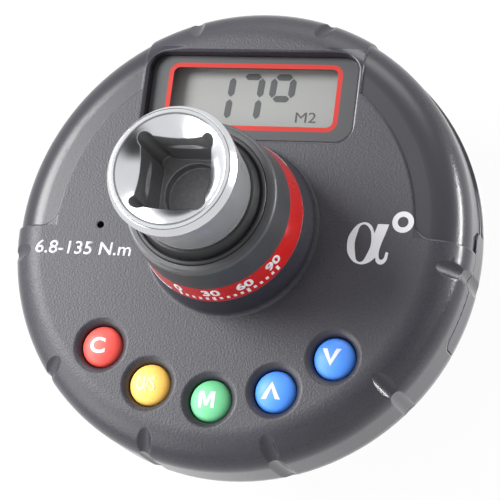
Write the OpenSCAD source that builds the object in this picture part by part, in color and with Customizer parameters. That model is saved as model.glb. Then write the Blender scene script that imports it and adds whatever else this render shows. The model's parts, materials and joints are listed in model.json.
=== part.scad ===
// Digital torque and angle adapter: a round instrument on a square drive shaft.
// Units are millimetres. +Z runs along the drive axis, out of the display face.
// +Y points from the axis to the display. The origin is on the axis, at the tip of the male square.

/* [Housing] */
// Outside diameter of the round housing
housing_d = 66; // [63:0.5:74]
// Rounding between the display face and the side
face_round = 5; // [4:0.25:6]
// Straight height of the side between its two roundings
side_h = 5; // [4.5:0.25:8]
// Rounding between the side and the rear face
back_round = 6; // [5:0.25:7]
// How far the joint between the covers lies below the straight side
part_below = 1.5; // [1:0.1:2]
// Thickness of the side wall
wall = 2; // [1.6:0.1:2.4]
// Thickness of the display face
face_t = 2.2; // [1.8:0.1:2.5]
// Thickness of the rear face
back_t = 2; // [1.6:0.1:2.6]
// Height of the boss round the shaft on the rear face
boss_h = 3; // [2:0.25:5]
// Diameter of the rear boss where it leaves the rear face
boss_root_d = 24.4; // [22:0.2:28]
// Diameter of the rear boss at its end
boss_tip_d = 21.6; // [20:0.2:22]

/* [Rim] */
// Width of a grip groove across the rim
notch_w = 2.2; // [1.4:0.1:3]
// Depth of a grip groove
notch_depth = 0.55; // [0.3:0.05:0.9]
// Depth of the two sunk side panels
panel_depth = 0.3; // [0.15:0.05:0.5]
// Radius of the inner edge of a side panel
panel_r = 25.7; // [24.5:0.1:28]
// Distance from the middle plane to the upper end of a side panel
panel_x = 16; // [15:0.25:20]
// Distance of the lower edge of a side panel behind the axis
panel_y = 0.4; // [0:0.1:3]
// Rounding of the lower inner corner of a side panel
panel_corner = 3; // [1:0.25:4]

/* [Drive] */
// Width across flats of the male square
drive_af = 9.48; // [9.4:0.01:9.56]
// Length of the male square
drive_l = 11; // [9:0.5:14]
// Diameter to which the corners of the male square are turned
drive_corner_d = 12.6; // [11.8:0.1:13]
// Chamfer at the tip of the male square
drive_tip = 0.8; // [0.4:0.1:1.2]
// Length of the shoulder that stands out of the rear boss
shoulder_h = 3; // [2:0.25:5]
// Bevel at the lower end of the shoulder
shoulder_bevel = 0.5; // [0.3:0.1:0.8]
// Diameter of the measuring section
gauge_d = 13; // [11:0.25:13.5]
// Length of the cone at each end of the measuring section
gauge_blend = 1; // [0.6:0.1:1.4]
// Width of the step between the flange and the shoulder, which rests on the rear cover
flange_step = 0.6; // [0.4:0.05:0.8]
// Thickness of the flange
flange_t = 2.2; // [1.6:0.1:2.6]
// Depth of the two flats that key the flange
flat_depth = 0.5; // [0.4:0.05:0.55]

/* [Drive head] */
// Height of the head above the display face
head_h = 26.6; // [25:0.2:32]
// Diameter of the head at its mouth
head_d = 17.7; // [17:0.1:19]
// Diameter of the head at its base
head_base_d = 15.6; // [15.2:0.1:16.4]
// Height above the display face where the head comes out of the seal
head_base_h = 16.3; // [15.8:0.1:17.5]
// Width of the bevel round the mouth
head_bevel_w = 0.64; // [0.4:0.02:0.8]
// Height of the bevel round the mouth
head_bevel_h = 1; // [0.6:0.1:1.4]
// Width across flats of the female square
socket_af = 9.63; // [9.58:0.01:9.75]
// Depth of the female square
socket_depth = 10.8; // [9:0.2:12]
// Diameter of the relief lobe in each corner of the female square
lobe_d = 2; // [1.4:0.1:2.4]
// Distance from the axis to the far side of a lobe
lobe_reach = 6.9; // [6.6:0.05:7]
// Diameter of the countersink at the mouth
sink_d = 14.9; // [14.4:0.1:15.6]
// Slope of the countersink from level, in degrees
sink_angle = 40; // [30:1:50]
// Depth below the mouth of the groove that a detent ball drops into
dent_depth = 5.6; // [4.6:0.1:6.4]
// Diameter of the tool that cuts the detent groove
dent_d = 1.5; // [1:0.1:2]
// Reach of the detent groove from the axis
dent_reach = 5.6; // [5.3:0.05:6]
// Diameter of the relief bore below the female square
relief_d = 8.4; // [6:0.2:9]
// Depth of the relief bore
relief_depth = 1.6; // [1:0.1:2.2]

/* [Detent] */
// Diameter of the detent ball
ball_d = 3.2; // [2.8:0.1:3.5]
// How far the ball stands out of its flat
ball_out = 0.8; // [0.5:0.05:1]
// Distance of the ball from the tip of the male square
ball_z = 5.5; // [4.5:0.1:6.5]
// Length of the detent spring
spring_l = 4.2; // [3.4:0.1:4.6]
// Wire diameter of the detent spring
spring_wire = 0.4; // [0.3:0.05:0.5]
// Turns of the detent spring
spring_turns = 4; // [3:1:6]

/* [Collar] */
// Diameter of the collar cap at its top
cap_top_d = 21.4; // [20.8:0.1:22]
// Height of the collar cap above the band
cap_h = 5.7; // [5:0.1:7]
// How much wider the cap is at its foot than at its top, on each side
cap_flare = 0.3; // [0.1:0.05:0.6]
// Rounding of the cap's upper edge
cap_round = 0.7; // [0.4:0.1:1]
// Wall of the cap outside the neck, measured at the cap's top
cap_skirt = 0.8; // [0.6:0.05:1]
// Wall of the cap round the shaft seal
cap_wall = 1.25; // [1.1:0.05:1.5]
// Height of the coloured band
band_h = 4.1; // [3:0.1:5]
// How much wider the band is at its lower edge than at its upper edge, on each side
band_flare = 0.55; // [0.3:0.05:0.8]
// Height of the collar's foot
foot_h = 4.6; // [3:0.2:6]
// How much wider the foot is at the display face than under the band, on each side
foot_flare = 0.65; // [0.3:0.05:1]
// Fillet between the foot and the display face
root_fillet = 0.4; // [0.2:0.05:0.5]
// How far the neck reaches up into the cap
neck_in_cap = 2.8; // [2:0.1:3.4]
// Bore of the neck
neck_bore_d = 16.8; // [16.4:0.1:17.4]

/* [Display] */
// Width of the display recess
display_w = 30.4; // [28:0.2:32]
// Height of the display recess
display_h = 12.6; // [11.6:0.2:13]
// Distance from the rim to the middle of the display
display_inset = 13.5; // [13:0.1:14]
// Corner rounding of the recess
display_round = 2.3; // [1.5:0.1:3]
// Depth of the recess down to the lens
display_depth = 1.6; // [1.2:0.1:2]
// Rounding along the edge of the recess
display_edge = 0.5; // [0.2:0.1:0.8]
// Thickness of the lens
lens_t = 1; // [0.8:0.1:1.2]
// Width of the ledge that the cover lays over the edge of the panel
view_ledge = 0.55; // [0.4:0.05:0.8]
// Corner rounding of the window inside that ledge
view_round = 1; // [0.5:0.1:1.5]
// Width of the liquid crystal panel
lcd_w = 27; // [26:0.2:28]
// Height of the liquid crystal panel
lcd_h = 11.4; // [10:0.2:11.8]
// Thickness of the liquid crystal panel
lcd_t = 1.6; // [1.2:0.1:1.8]
// Wall of the holder round the panel
holder_wall = 0.9; // [0.7:0.05:1.1]
// Width of the ledge in the holder under the panel
holder_ledge = 0.7; // [0.5:0.05:0.9]
// Width of a contact strip
strip_w = 1.2; // [0.9:0.1:1.5]

/* [Buttons] */
// Distance from the rim to the middle of a button
button_inset = 9; // [8.8:0.1:9.6]
// Angle between two buttons
button_step = 22; // [20:0.5:22.5]
// Diameter of a button cap
button_d = 5.8; // [5:0.1:6]
// Diameter of the well round a cap, at the display face
well_d = 7.9; // [7.4:0.1:8.2]
// Rise of the domed cap
button_dome = 0.7; // [0.4:0.05:1]
// Height of the middle of the dome above the display face
button_proud = 0.15; // [-0.3:0.05:0.4]
// Travel of a button
button_travel = 0.4; // [0.2:0.05:0.5]
// Width of a switch
switch_w = 4.2; // [3.6:0.1:4.6]
// Height of a switch body
switch_h = 1.6; // [1.3:0.1:1.8]
// Diameter of a switch plunger
plunger_d = 2; // [1.6:0.1:2.4]
// Thickness of a switch body's floor
switch_floor = 0.4; // [0.3:0.05:0.5]
// Thickness of the flange that keeps a cap in the cover
button_flange_t = 0.8; // [0.6:0.05:1]
// Diameter of the stem under a cap
button_stem_d = 2.8; // [2.2:0.1:3.4]

/* [Sounder] */
// Distance from the rim to the sounder hole
sounder_inset = 13.8; // [13:0.1:14.4]
// Diameter of the sounder hole
sounder_hole_d = 1; // [0.8:0.1:1.4]
// Diameter of the sounder disc
sounder_d = 9; // [8:0.2:9.6]
// Thickness of the sounder disc
sounder_t = 1.8; // [1.2:0.1:2.2]
// Width of the sounder's raised rim
sounder_rim = 1; // [0.6:0.1:1.4]

/* [Battery drawer] */
// Angle of the drawer, clockwise from the display
drawer_angle = 99.5; // [97:0.5:102]
// Width of the drawer front
drawer_w = 16.5; // [16.2:0.1:17.5]
// Distance of the drawer front's upper edge below the display face
drawer_top = 6.8; // [6.4:0.1:7.4]
// Distance of the drawer front's lower edge above the rear face
drawer_low = 2.5; // [2.2:0.1:3]
// Corner rounding of the drawer front
drawer_corner = 1.5; // [0.8:0.1:2]
// Thickness of the drawer front at its middle
drawer_front_t = 3; // [2.6:0.1:3.2]
// Gap round the drawer front
drawer_gap = 0.2; // [0.15:0.05:0.3]
// Diameter of the coin cell
cell_d = 12.5; // [11.6:0.1:12.6]
// Thickness of the coin cell
cell_t = 2.5; // [2:0.1:2.6]
// Wall of the tray round the cell
tray_wall = 1.2; // [0.9:0.1:1.3]
// Thickness of the tray's floor
tray_floor = 0.8; // [0.6:0.1:0.9]
// Width of the slot in the tray for the lower contact
slot_w = 3.4; // [3:0.1:4]
// Width of a battery contact
contact_w = 2.4; // [1.8:0.1:2.6]
// Thickness of a battery contact
contact_t = 0.2; // [0.15:0.05:0.3]
// Thickness of a rail beside or under the tray
rail_t = 1.2; // [0.9:0.1:1.5]

/* [Electronics] */
// Distance of the board's upper side below the display face
board_drop = 6.5; // [6.2:0.1:6.8]
// Thickness of the board
board_t = 1.2; // [1:0.1:1.4]
// Diameter of the hole in the board for the shaft
board_hole_d = 19; // [18.4:0.2:20]
// Gap between the board's edge and the side wall
board_gap = 1.6; // [1.2:0.1:2.2]
// Thickness of a strain gauge
gauge_t = 0.15; // [0.1:0.05:0.25]
// Height of a strain gauge
gauge_h = 4.5; // [3:0.25:5.5]
// Width of the gauges' flat lead
lead_w = 3; // [2:0.25:4]
// Thickness of that lead
lead_t = 0.15; // [0.1:0.05:0.25]
// Side of the processor chip
processor_w = 7; // [5:0.25:8]
// Side of the amplifier chip
amplifier_w = 4; // [3:0.25:5]
// Height of a chip
chip_h = 1.2; // [0.8:0.1:1.5]
// Side of the angle sensor
gyro_w = 5; // [4:0.25:6]
// Height of the angle sensor
gyro_h = 1.4; // [1:0.1:1.6]

/* [Fasteners] */
// Diameter of a cover screw boss
boss_d = 5.2; // [4.8:0.1:5.6]
// Diameter of a cover screw
screw_d = 2; // [1.8:0.1:2.2]
// Diameter of a cover screw head
screw_head_d = 3.8; // [3.4:0.1:4]
// Height of a cover screw head
screw_head_h = 1.3; // [1:0.1:1.5]
// Outside diameter of a threaded insert
insert_d = 3.2; // [2.9:0.1:3.4]
// Length of a threaded insert
insert_l = 3.6; // [3:0.1:4]
// Diameter of a board post
post_d = 3.8; // [3.4:0.1:4.2]
// Diameter of a board screw
post_screw_d = 1.5; // [1.3:0.1:1.7]
// Height of a board screw head
post_head_h = 0.9; // [0.7:0.05:1.1]
// Width of the groove along the joint between the covers
seam_w = 0.3; // [0.2:0.05:0.4]

/* [Hidden] */
$fn = 96;
// Clearance of pieces that are fixed together
fit = 0.05;
// Clearance of pieces that move past each other
slip = 0.1;
// Clearance under and beside the drawer
glide = 0.15;
// Extra length of a cut past the surface that it opens
over = 1;
// Overlap of two shapes that make one solid
lap = 0.1;

housing_r = housing_d / 2;
gauge_r = gauge_d / 2;
flange_r = neck_bore_d / 2 - slip;
shoulder_r = flange_r - flange_step;
head_r = head_d / 2;
head_base_r = head_base_d / 2;
cap_top_r = cap_top_d / 2;
band_top_r = cap_top_r + cap_flare;
band_low_r = band_top_r + band_flare;
collar_root_r = band_low_r + foot_flare;
neck_r = cap_top_r - cap_skirt;
seal_r = cap_top_r - cap_wall - fit;
boss_r = boss_d / 2;

boss_z = drive_l + shoulder_h;
back_z = boss_z + boss_h;
floor_z = back_z + back_t;
side_z = back_z + back_round;
part_z = side_z - part_below;
face_z = side_z + side_h + face_round;
ceil_z = face_z - face_t;
top_z = face_z + head_h;
foot_z = face_z + foot_h;
band_z = foot_z + band_h;
neck_z = band_z + neck_in_cap;
cap_z = band_z + cap_h;
base_z = face_z + head_base_h;
seam_r = housing_r - back_round + sqrt(pow(back_round, 2) - pow(part_below, 2));

// Grip grooves on each side, as angles from the display
notch_angles = [17.5, 97.5, 130.5, 163.5];
notch_r = (pow(notch_w / 2, 2) + pow(notch_depth, 2)) / (2 * notch_depth);

// Angle at which a rounded edge of a recess or well runs into the display face
edge_angle = 15;

// Retaining ring and O-ring on the shoulder
ring_t = 0.9;
ring_depth = 0.7;
ring_out = 1.5;
ring_gap = 44;
ring_lug_r = 1.3;
oring_wire = 1.3;
oring_z = back_z - boss_h / 3;
oring_groove = oring_wire - 2 * slip;

// Gasket between the covers, and the lip that centres them
gasket_w = 0.7;
gasket_h = 0.8;
gasket_r = housing_r - wall + 0.5;
lip_h = 1.1;
lip_t = 1.2;

// Ribs on the rear cover that hold the flange's flats
key_rib_t = 1.6;
key_rib_y = flange_r - flat_depth + slip;

// Wall round the display recess inside the cover, and the ledge under the lens
frame_wall = 1.2;
ledge_t = 1;
display_y = housing_r - display_inset;
lens_z = face_z - display_depth;
ledge_z = lens_z - lens_t;
view_w = lcd_w - 2 * view_ledge;
view_h = lcd_h - 2 * view_ledge;
frame_z = ledge_z - ledge_t;
lcd_z = frame_z - fit;
board_z = face_z - board_drop;
board_low_z = board_z - board_t;
strip_l = lcd_w - 2 * (holder_ledge + holder_wall);
strip_y = lcd_h / 2 - holder_ledge - holder_wall;

button_r = housing_r - button_inset;
button_angles = [for (i = [2 : -1 : -2]) 180 + i * button_step];
button_colors = ["#c8403c", "#e0a038", "#3c9c54", "#2860b8", "#2860b8"];
button_flange_r = well_d / 2 - 2.5 * slip;
plunger_z = board_z + switch_floor + button_travel + slip;
plunger_top_z = board_z + switch_h + button_travel + slip;
sounder_x = housing_r - sounder_inset;

// Cover screws: two beside the display and two past the ends of the row of buttons
screw_circle = housing_r - wall - boss_r + 3 * lap;
screw_past_button = 12;
screw_beside_display = 45;
low_screw = 2 * button_step + screw_past_button;
screw_angles = [screw_beside_display, 180 - low_screw, 180 + low_screw, 360 - screw_beside_display];
screw_seat_z = floor_z - lap;
insert_z = part_z + 2 * lap;
// Board posts, as distance from the axis and angle from the display
board_posts = [[21.5, 68], [23.8, 292], [16, 180]];
// Board chips, as distance from the axis and angle from the display
processor_at = [18, 240];
amplifier_at = [18, 150];
regulator_at = [19, 20];
gyro_at = [17, 330];

drawer_low_z = back_z + drawer_low;
drawer_top_z = face_z - drawer_top;
drawer_mid_z = (drawer_low_z + drawer_top_z) / 2;
drawer_h = drawer_top_z - drawer_low_z;
drawer_in = housing_r - drawer_front_t;
opening_in = drawer_in - 2 * over;
rail_end = opening_in - rail_t / 2;
pocket_r = cell_d / 2 + slip;
tray_r = pocket_r + tray_wall;
tray_z = drawer_low_z + 2 * glide;
cell_z = tray_z + tray_floor;
tray_top_z = cell_z + cell_t;
cell_u = drawer_in - over - pocket_r;

ball_r = ball_d / 2;
ball_x = drive_af / 2 + ball_out - ball_r;

// Turns the radial direction onto +Y for a feature at an angle clockwise from the display
module at_angle(a) {
    rotate([0, 0, -a]) children();
}

module at_polar(r, a) {
    at_angle(a) translate([0, r, 0]) children();
}

// Rectangle with round corners, centred
module round_rect(w, h, r) {
    square([w - 2 * r, h], center = true);
    square([w, h - 2 * r], center = true);
    for (x = [-1, 1], y = [-1, 1])
        translate([x * (w / 2 - r), y * (h / 2 - r)]) circle(r);
}

// Half section of a disc with its lower and upper edges rounded
module rounded_section(r, low, high, low_round, high_round) {
    mid = (low + low_round + high - high_round) / 2;
    translate([0, low]) square([r - low_round, mid - low]);
    translate([0, mid - lap]) square([r - high_round, high - mid + lap]);
    translate([0, low + low_round]) square([r, high - high_round - low - low_round]);
    translate([r - low_round, low + low_round]) circle(low_round);
    translate([r - high_round, high - high_round]) circle(high_round);
}

module housing_section(inset = 0) {
    rounded_section(housing_r - inset, back_z + inset, face_z - inset,
        back_round - inset, face_round - inset);
}

module cavity_section() {
    rounded_section(housing_r - wall, floor_z, ceil_z, back_round - wall, face_round - wall);
}

// Groove round the outside along the joint between the covers
module seam_cut() {
    translate([seam_r, part_z]) rotate(45) square(seam_w, center = true);
}

// Grip grooves: one run along the shoulder and one down the side
module rim_notches() {
    arc_r = face_round + notch_r - notch_depth;
    for (side = [-1, 1], a = notch_angles)
        at_angle(side * a) {
            translate([0, housing_r + notch_r - notch_depth, back_z - over])
                cylinder(r = notch_r, h = face_z - back_z);
            translate([0, housing_r - face_round + arc_r * sin(45), face_z - face_round + arc_r * cos(45)])
                rotate([45, 0, 0]) cylinder(r = notch_r, h = 2 * face_round, center = true);
        }
}

// Outline of the right side panel, seen from the front
module panel_outline() {
    reach = housing_r + over;
    corner_a = asin((panel_corner - panel_y) / (panel_r + panel_corner));
    corner_x = (panel_r + panel_corner) * cos(corner_a);
    corner_h = (panel_corner + panel_r * sin(corner_a) + panel_y) / 2;
    difference() {
        translate([panel_x, -panel_y]) square([reach - panel_x, reach + panel_y]);
        circle(panel_r);
        difference() {
            translate([0, -panel_y - over]) square([corner_x, over + corner_h]);
            translate([corner_x, panel_corner - panel_y]) circle(panel_corner);
        }
    }
}

module side_panels() {
    for (side = [0, 1])
        mirror([side, 0, 0]) intersection() {
            rotate_extrude() difference() {
                translate([panel_x, side_z]) square([housing_r + over - panel_x, face_z + over - side_z]);
                housing_section(panel_depth);
            }
            translate([0, 0, side_z]) linear_extrude(face_z + over - side_z) panel_outline();
        }
}

// Upright hole in the rim that the drawer front fills, grown by a gap
module drawer_front(gap, inner) {
    at_angle(drawer_angle) translate([0, housing_r + over, drawer_mid_z]) rotate([90, 0, 0])
        linear_extrude(housing_r + over - inner)
            round_rect(drawer_w + 2 * gap, drawer_h + 2 * gap, drawer_corner + gap);
}

// Rounded edge that widens the mouth of the display recess
module recess_edge() {
    w = display_w / 2 - display_round;
    h = display_h / 2 - display_round;
    arc_r = display_edge / (cos(edge_angle) - sin(edge_angle));
    arc_c = arc_r * cos(edge_angle);
    module lip() {
        difference() {
            translate([-over, -display_edge]) square([display_edge + over, display_edge + over]);
            translate([arc_c, -arc_c]) circle(arc_r);
        }
    }
    for (x = [0, 1], y = [0, 1])
        mirror([x, 0, 0]) mirror([0, y, 0]) translate([w, h, 0]) {
            rotate_extrude(angle = 90) translate([display_round, 0]) lip();
            translate([-w, display_round, 0]) rotate([90, 0, 90]) linear_extrude(w) lip();
            translate([display_round, 0, 0]) rotate([90, 0, 0]) linear_extrude(h) lip();
        }
}

module front_section() {
    difference() {
        union() {
            difference() {
                intersection() {
                    housing_section();
                    translate([0, part_z]) square([housing_r + over, face_z - part_z + over]);
                }
                cavity_section();
                translate([0, part_z - over]) square([housing_r - wall, side_h / 2 + part_below + over]);
                seam_cut();
            }
            polygon([[0, ceil_z], [collar_root_r, ceil_z], [collar_root_r, face_z],
                [band_low_r, foot_z], [0, foot_z]]);
            difference() {
                translate([collar_root_r - root_fillet, face_z - root_fillet]) square(2 * root_fillet);
                translate([collar_root_r + root_fillet, face_z + root_fillet]) circle(root_fillet);
            }
            translate([0, ceil_z]) square([neck_r, neck_z - ceil_z]);
        }
        translate([0, ceil_z - over]) square([neck_bore_d / 2, neck_z - ceil_z + 2 * over]);
    }
}

// Well and guide hole of one button, with a flared mouth
module button_well() {
    hole_r = button_d / 2 + slip;
    flare_r = (well_d / 2 - hole_r) / (1 - sin(edge_angle));
    flare_z = face_z - flare_r * cos(edge_angle);
    rotate_extrude() difference() {
        translate([0, ceil_z - over]) square([hole_r + flare_r, face_t + 2 * over]);
        translate([hole_r + flare_r, flare_z]) circle(flare_r);
        translate([hole_r, ceil_z - 2 * over]) square([flare_r + over, flare_z - ceil_z + 2 * over]);
    }
}

module front_cover() {
    color("#46484c") difference() {
        union() {
            rotate_extrude() front_section();
            translate([0, display_y, frame_z]) linear_extrude(ceil_z - frame_z + lap)
                round_rect(display_w + 2 * frame_wall, display_h + 2 * frame_wall,
                    display_round + frame_wall);
            for (a = screw_angles)
                at_polar(screw_circle, a) translate([0, 0, part_z])
                    cylinder(d = boss_d, h = ceil_z - part_z + lap);
            for (p = board_posts)
                at_polar(p[0], p[1]) translate([0, 0, board_z])
                    cylinder(d = post_d, h = ceil_z - board_z + lap);
        }
        translate([0, display_y, ledge_z]) linear_extrude(face_z - ledge_z + over)
            round_rect(display_w, display_h, display_round);
        translate([0, display_y, frame_z - over]) linear_extrude(ledge_t + 2 * over)
            round_rect(view_w, view_h, view_round);
        translate([0, display_y, face_z]) recess_edge();
        for (a = button_angles)
            at_polar(button_r, a) button_well();
        for (a = screw_angles)
            at_polar(screw_circle, a) translate([0, 0, part_z - over])
                cylinder(d = insert_d + 2 * fit, h = insert_z - part_z + insert_l + 2 * over);
        for (p = board_posts)
            at_polar(p[0], p[1]) translate([0, 0, board_z - over])
                cylinder(d = post_screw_d + 2 * fit, h = over + ceil_z - board_z);
        translate([-sounder_x, 0, ceil_z - over]) cylinder(d = sounder_hole_d, h = face_t + 2 * over);
        rim_notches();
        side_panels();
        drawer_front(drawer_gap, opening_in);
    }
}

module rear_section() {
    difference() {
        union() {
            difference() {
                intersection() {
                    housing_section();
                    square([housing_r + over, part_z]);
                }
                cavity_section();
                seam_cut();
            }
            polygon([[0, boss_z], [boss_tip_d / 2, boss_z], [boss_root_d / 2, back_z],
                [boss_root_d / 2, floor_z], [0, floor_z]]);
        }
        translate([0, boss_z - over]) square([shoulder_r + fit, floor_z - boss_z + 2 * over]);
        gasket_section(fit);
    }
}

module gasket_section(gap = 0) {
    translate([gasket_r - gap, part_z - gasket_h - gap]) square([gasket_w + 2 * gap, gasket_h + gap]);
}

// Lip of the rear cover that centres the front cover, open at the screw bosses
module locating_lip() {
    lip_r = housing_r - wall - slip;
    difference() {
        translate([0, 0, part_z - lip_h]) rotate_extrude()
            translate([lip_r - lip_t, 0]) square([lip_t, 2 * lip_h]);
        for (a = screw_angles)
            at_polar(screw_circle, a) translate([0, 0, part_z - 2 * lip_h])
                cylinder(r = boss_r + 2 * slip, h = 4 * lip_h);
    }
}

module rear_cover() {
    rail_x = tray_r + glide;
    skid_x = tray_r - 1.5 * rail_t;
    skid_in = cell_u - tray_r / 3;
    color("#3a3c40") difference() {
        union() {
            rotate_extrude() rear_section();
            locating_lip();
            for (a = screw_angles)
                at_polar(screw_circle, a) translate([0, 0, floor_z - back_t / 2])
                    cylinder(d = boss_d, h = part_z - floor_z + back_t / 2);
            at_angle(drawer_angle) for (x = [-1, 1]) {
                translate([x * (rail_x + rail_t / 2) - rail_t / 2, cell_u - tray_r, floor_z - lap])
                    cube([rail_t, rail_end - cell_u + tray_r, tray_top_z - floor_z]);
                translate([x * skid_x - rail_t / 2, skid_in, floor_z - lap])
                    cube([rail_t, rail_end - skid_in, tray_z - glide - floor_z + lap]);
            }
            for (y = [0, 1])
                mirror([0, y, 0]) translate([-gauge_r, key_rib_y, floor_z - lap])
                    cube([gauge_d, key_rib_t, flange_t + lap]);
        }
        for (a = screw_angles)
            at_polar(screw_circle, a) {
                translate([0, 0, back_z - over])
                    cylinder(d = screw_head_d + 4 * slip, h = screw_seat_z - back_z + over);
                cylinder(d = screw_d + 2 * slip, h = part_z + over);
            }
        rim_notches();
        drawer_front(drawer_gap, opening_in);
    }
}

module shaft_section() {
    difference() {
        polygon([[0, drive_l - over], [drive_af / 3, drive_l - over], [drive_af / 3, drive_l],
            [shoulder_r - shoulder_bevel, drive_l], [shoulder_r, drive_l + shoulder_bevel],
            [shoulder_r, floor_z], [flange_r, floor_z], [flange_r, floor_z + flange_t],
            [gauge_r + gauge_blend, floor_z + flange_t], [gauge_r, floor_z + flange_t + gauge_blend],
            [gauge_r, neck_z + slip - gauge_blend], [head_base_r, neck_z + slip],
            [head_base_r, base_z], [head_r, top_z - head_bevel_h],
            [head_r - head_bevel_w, top_z], [0, top_z]]);
        translate([shoulder_r - ring_depth, boss_z - ring_t - 2 * fit])
            square([ring_depth + over, ring_t + 2 * fit]);
        translate([shoulder_r - oring_groove, oring_z - oring_wire / 2 - fit])
            square([oring_groove + over, oring_wire + 2 * fit]);
    }
}

// Female square with corner lobes, countersink, detent groove and relief bore
module socket_cut() {
    bottom_z = top_z - socket_depth;
    sink_depth = (sink_d / 2) * tan(sink_angle);
    sink_over_r = sink_d / 2 + over / tan(sink_angle);
    lobe_c = (lobe_reach - lobe_d / 2) / sqrt(2);
    translate([0, 0, bottom_z]) linear_extrude(socket_depth + over) {
        square(socket_af, center = true);
        for (x = [-1, 1], y = [-1, 1])
            translate([x * lobe_c, y * lobe_c]) circle(d = lobe_d);
    }
    translate([0, 0, top_z - sink_depth]) cylinder(r1 = 0, r2 = sink_over_r, h = sink_depth + over);
    rotate_extrude() translate([dent_reach - dent_d / 2, top_z - dent_depth]) circle(d = dent_d);
    translate([0, 0, bottom_z - relief_depth]) cylinder(d = relief_d, h = relief_depth + over);
}

module ball_hole() {
    translate([ball_x, 0, ball_z]) {
        sphere(ball_r + fit);
        rotate([0, -90, 0]) cylinder(r = ball_r + fit, h = ball_r + spring_l);
    }
}

module torsion_shaft() {
    color("#d8dade") difference() {
        union() {
            rotate_extrude() shaft_section();
            intersection() {
                translate([-drive_af / 2, -drive_af / 2, 0]) cube([drive_af, drive_af, drive_l]);
                union() {
                    translate([0, 0, drive_tip]) cylinder(d = drive_corner_d, h = drive_l - drive_tip);
                    cylinder(d1 = drive_corner_d - 4 * drive_tip, d2 = drive_corner_d, h = drive_tip);
                }
            }
        }
        for (y = [0, 1])
            mirror([0, y, 0]) translate([-flange_r, flange_r - flat_depth, floor_z])
                cube([2 * flange_r, flat_depth + over, flange_t]);
        socket_cut();
        ball_hole();
    }
}

module drive_collar() {
    bore_r = seal_r + fit;
    color("#3c3e42") rotate_extrude() difference() {
        union() {
            polygon([[neck_r + fit, band_z], [band_top_r, band_z], [cap_top_r, cap_z - cap_round],
                [bore_r, cap_z - cap_round]]);
            translate([bore_r, cap_z - cap_round]) square([cap_top_r - cap_round - bore_r, cap_round]);
            translate([cap_top_r - cap_round, cap_z - cap_round]) circle(cap_round);
        }
        translate([0, band_z - over]) square([neck_r + fit, neck_z - band_z + over]);
        translate([0, neck_z - over]) square([bore_r, cap_z - neck_z + 2 * over]);
    }
}

module red_band() {
    color("#cc2a22") rotate_extrude()
        polygon([[neck_r + fit, foot_z], [band_low_r, foot_z], [band_top_r, band_z],
            [neck_r + fit, band_z]]);
}

// Lip seal that stands on the neck and wipes the base of the head
module shaft_seal() {
    inner = head_base_r + fit;
    lip = (seal_r - inner) / 4.5;
    lip_z = cap_z + (base_z - cap_z) / 5;
    color("#1c1d20") rotate_extrude() {
        polygon([[inner, neck_z], [seal_r, neck_z], [seal_r, cap_z], [seal_r - 2 * lip, cap_z],
            [inner + 2 * lip, lip_z], [inner + lip, base_z], [inner, base_z]]);
        translate([seal_r - lip, cap_z]) circle(lip);
    }
}

module retaining_ring() {
    inner = shoulder_r - ring_depth + fit;
    outer = shoulder_r + ring_out;
    lug_c = outer - ring_lug_r / 2;
    lug_a = ring_gap / 2 + asin(ring_lug_r / lug_c) / 2;
    color("#55585c") translate([0, 0, boss_z - ring_t - fit]) difference() {
        union() {
            rotate([0, 0, ring_gap / 2 - 90]) rotate_extrude(angle = 360 - ring_gap)
                translate([inner, 0]) square([outer - inner, ring_t]);
            for (side = [-1, 1])
                rotate([0, 0, side * lug_a]) translate([0, -lug_c, 0])
                    cylinder(r = ring_lug_r, h = ring_t);
        }
        for (side = [-1, 1])
            rotate([0, 0, side * lug_a]) translate([0, -lug_c, -over])
                cylinder(r = ring_lug_r / 2, h = ring_t + 2 * over);
        translate([0, 0, -over]) cylinder(r = inner, h = ring_t + 2 * over);
    }
}

module rear_oring() {
    color("#202124") rotate_extrude()
        translate([shoulder_r - oring_wire / 2 + slip, oring_z]) circle(d = oring_wire - 2 * slip);
}

module housing_gasket() {
    color("#202124") difference() {
        rotate_extrude() gasket_section();
        drawer_front(drawer_gap, opening_in);
    }
}

module display_lens() {
    color("#5a5e62") translate([0, display_y, ledge_z]) linear_extrude(lens_t)
        round_rect(display_w - 2 * fit, display_h - 2 * fit, display_round - fit);
}

module lcd_panel() {
    color("#a4aaa2") translate([-lcd_w / 2, display_y - lcd_h / 2, lcd_z - lcd_t])
        cube([lcd_w, lcd_h, lcd_t]);
}

// Frame that stands on the board and holds the panel against the cover
module lcd_holder() {
    h = lcd_z - board_z;
    out = 2 * (holder_wall + fit);
    color("#e4e4e0") translate([0, display_y, board_z]) difference() {
        linear_extrude(h) square([lcd_w + out, lcd_h + out], center = true);
        translate([0, 0, h - lcd_t]) linear_extrude(lcd_t + over)
            square([lcd_w + 2 * fit, lcd_h + 2 * fit], center = true);
        translate([0, 0, -over]) linear_extrude(h + over)
            square([lcd_w - 2 * holder_ledge, lcd_h - 2 * holder_ledge], center = true);
    }
}

module contact_strips() {
    color("#d48a9c") for (y = [-1, 1])
        translate([-strip_l / 2, display_y + y * strip_y - strip_w / 2, board_z])
            cube([strip_l, strip_w, lcd_z - lcd_t - board_z]);
}

module main_board() {
    color("#2c6a48") translate([0, 0, board_low_z]) difference() {
        cylinder(r = housing_r - wall - board_gap, h = board_t);
        translate([0, 0, -over]) cylinder(d = board_hole_d, h = board_t + 2 * over);
        for (a = screw_angles)
            at_polar(screw_circle, a) translate([0, 0, -over])
                cylinder(r = boss_r + 3 * slip, h = board_t + 2 * over);
        for (p = board_posts)
            at_polar(p[0], p[1]) translate([0, 0, -over])
                cylinder(d = post_screw_d + 2 * slip, h = board_t + 2 * over);
    }
}

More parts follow.
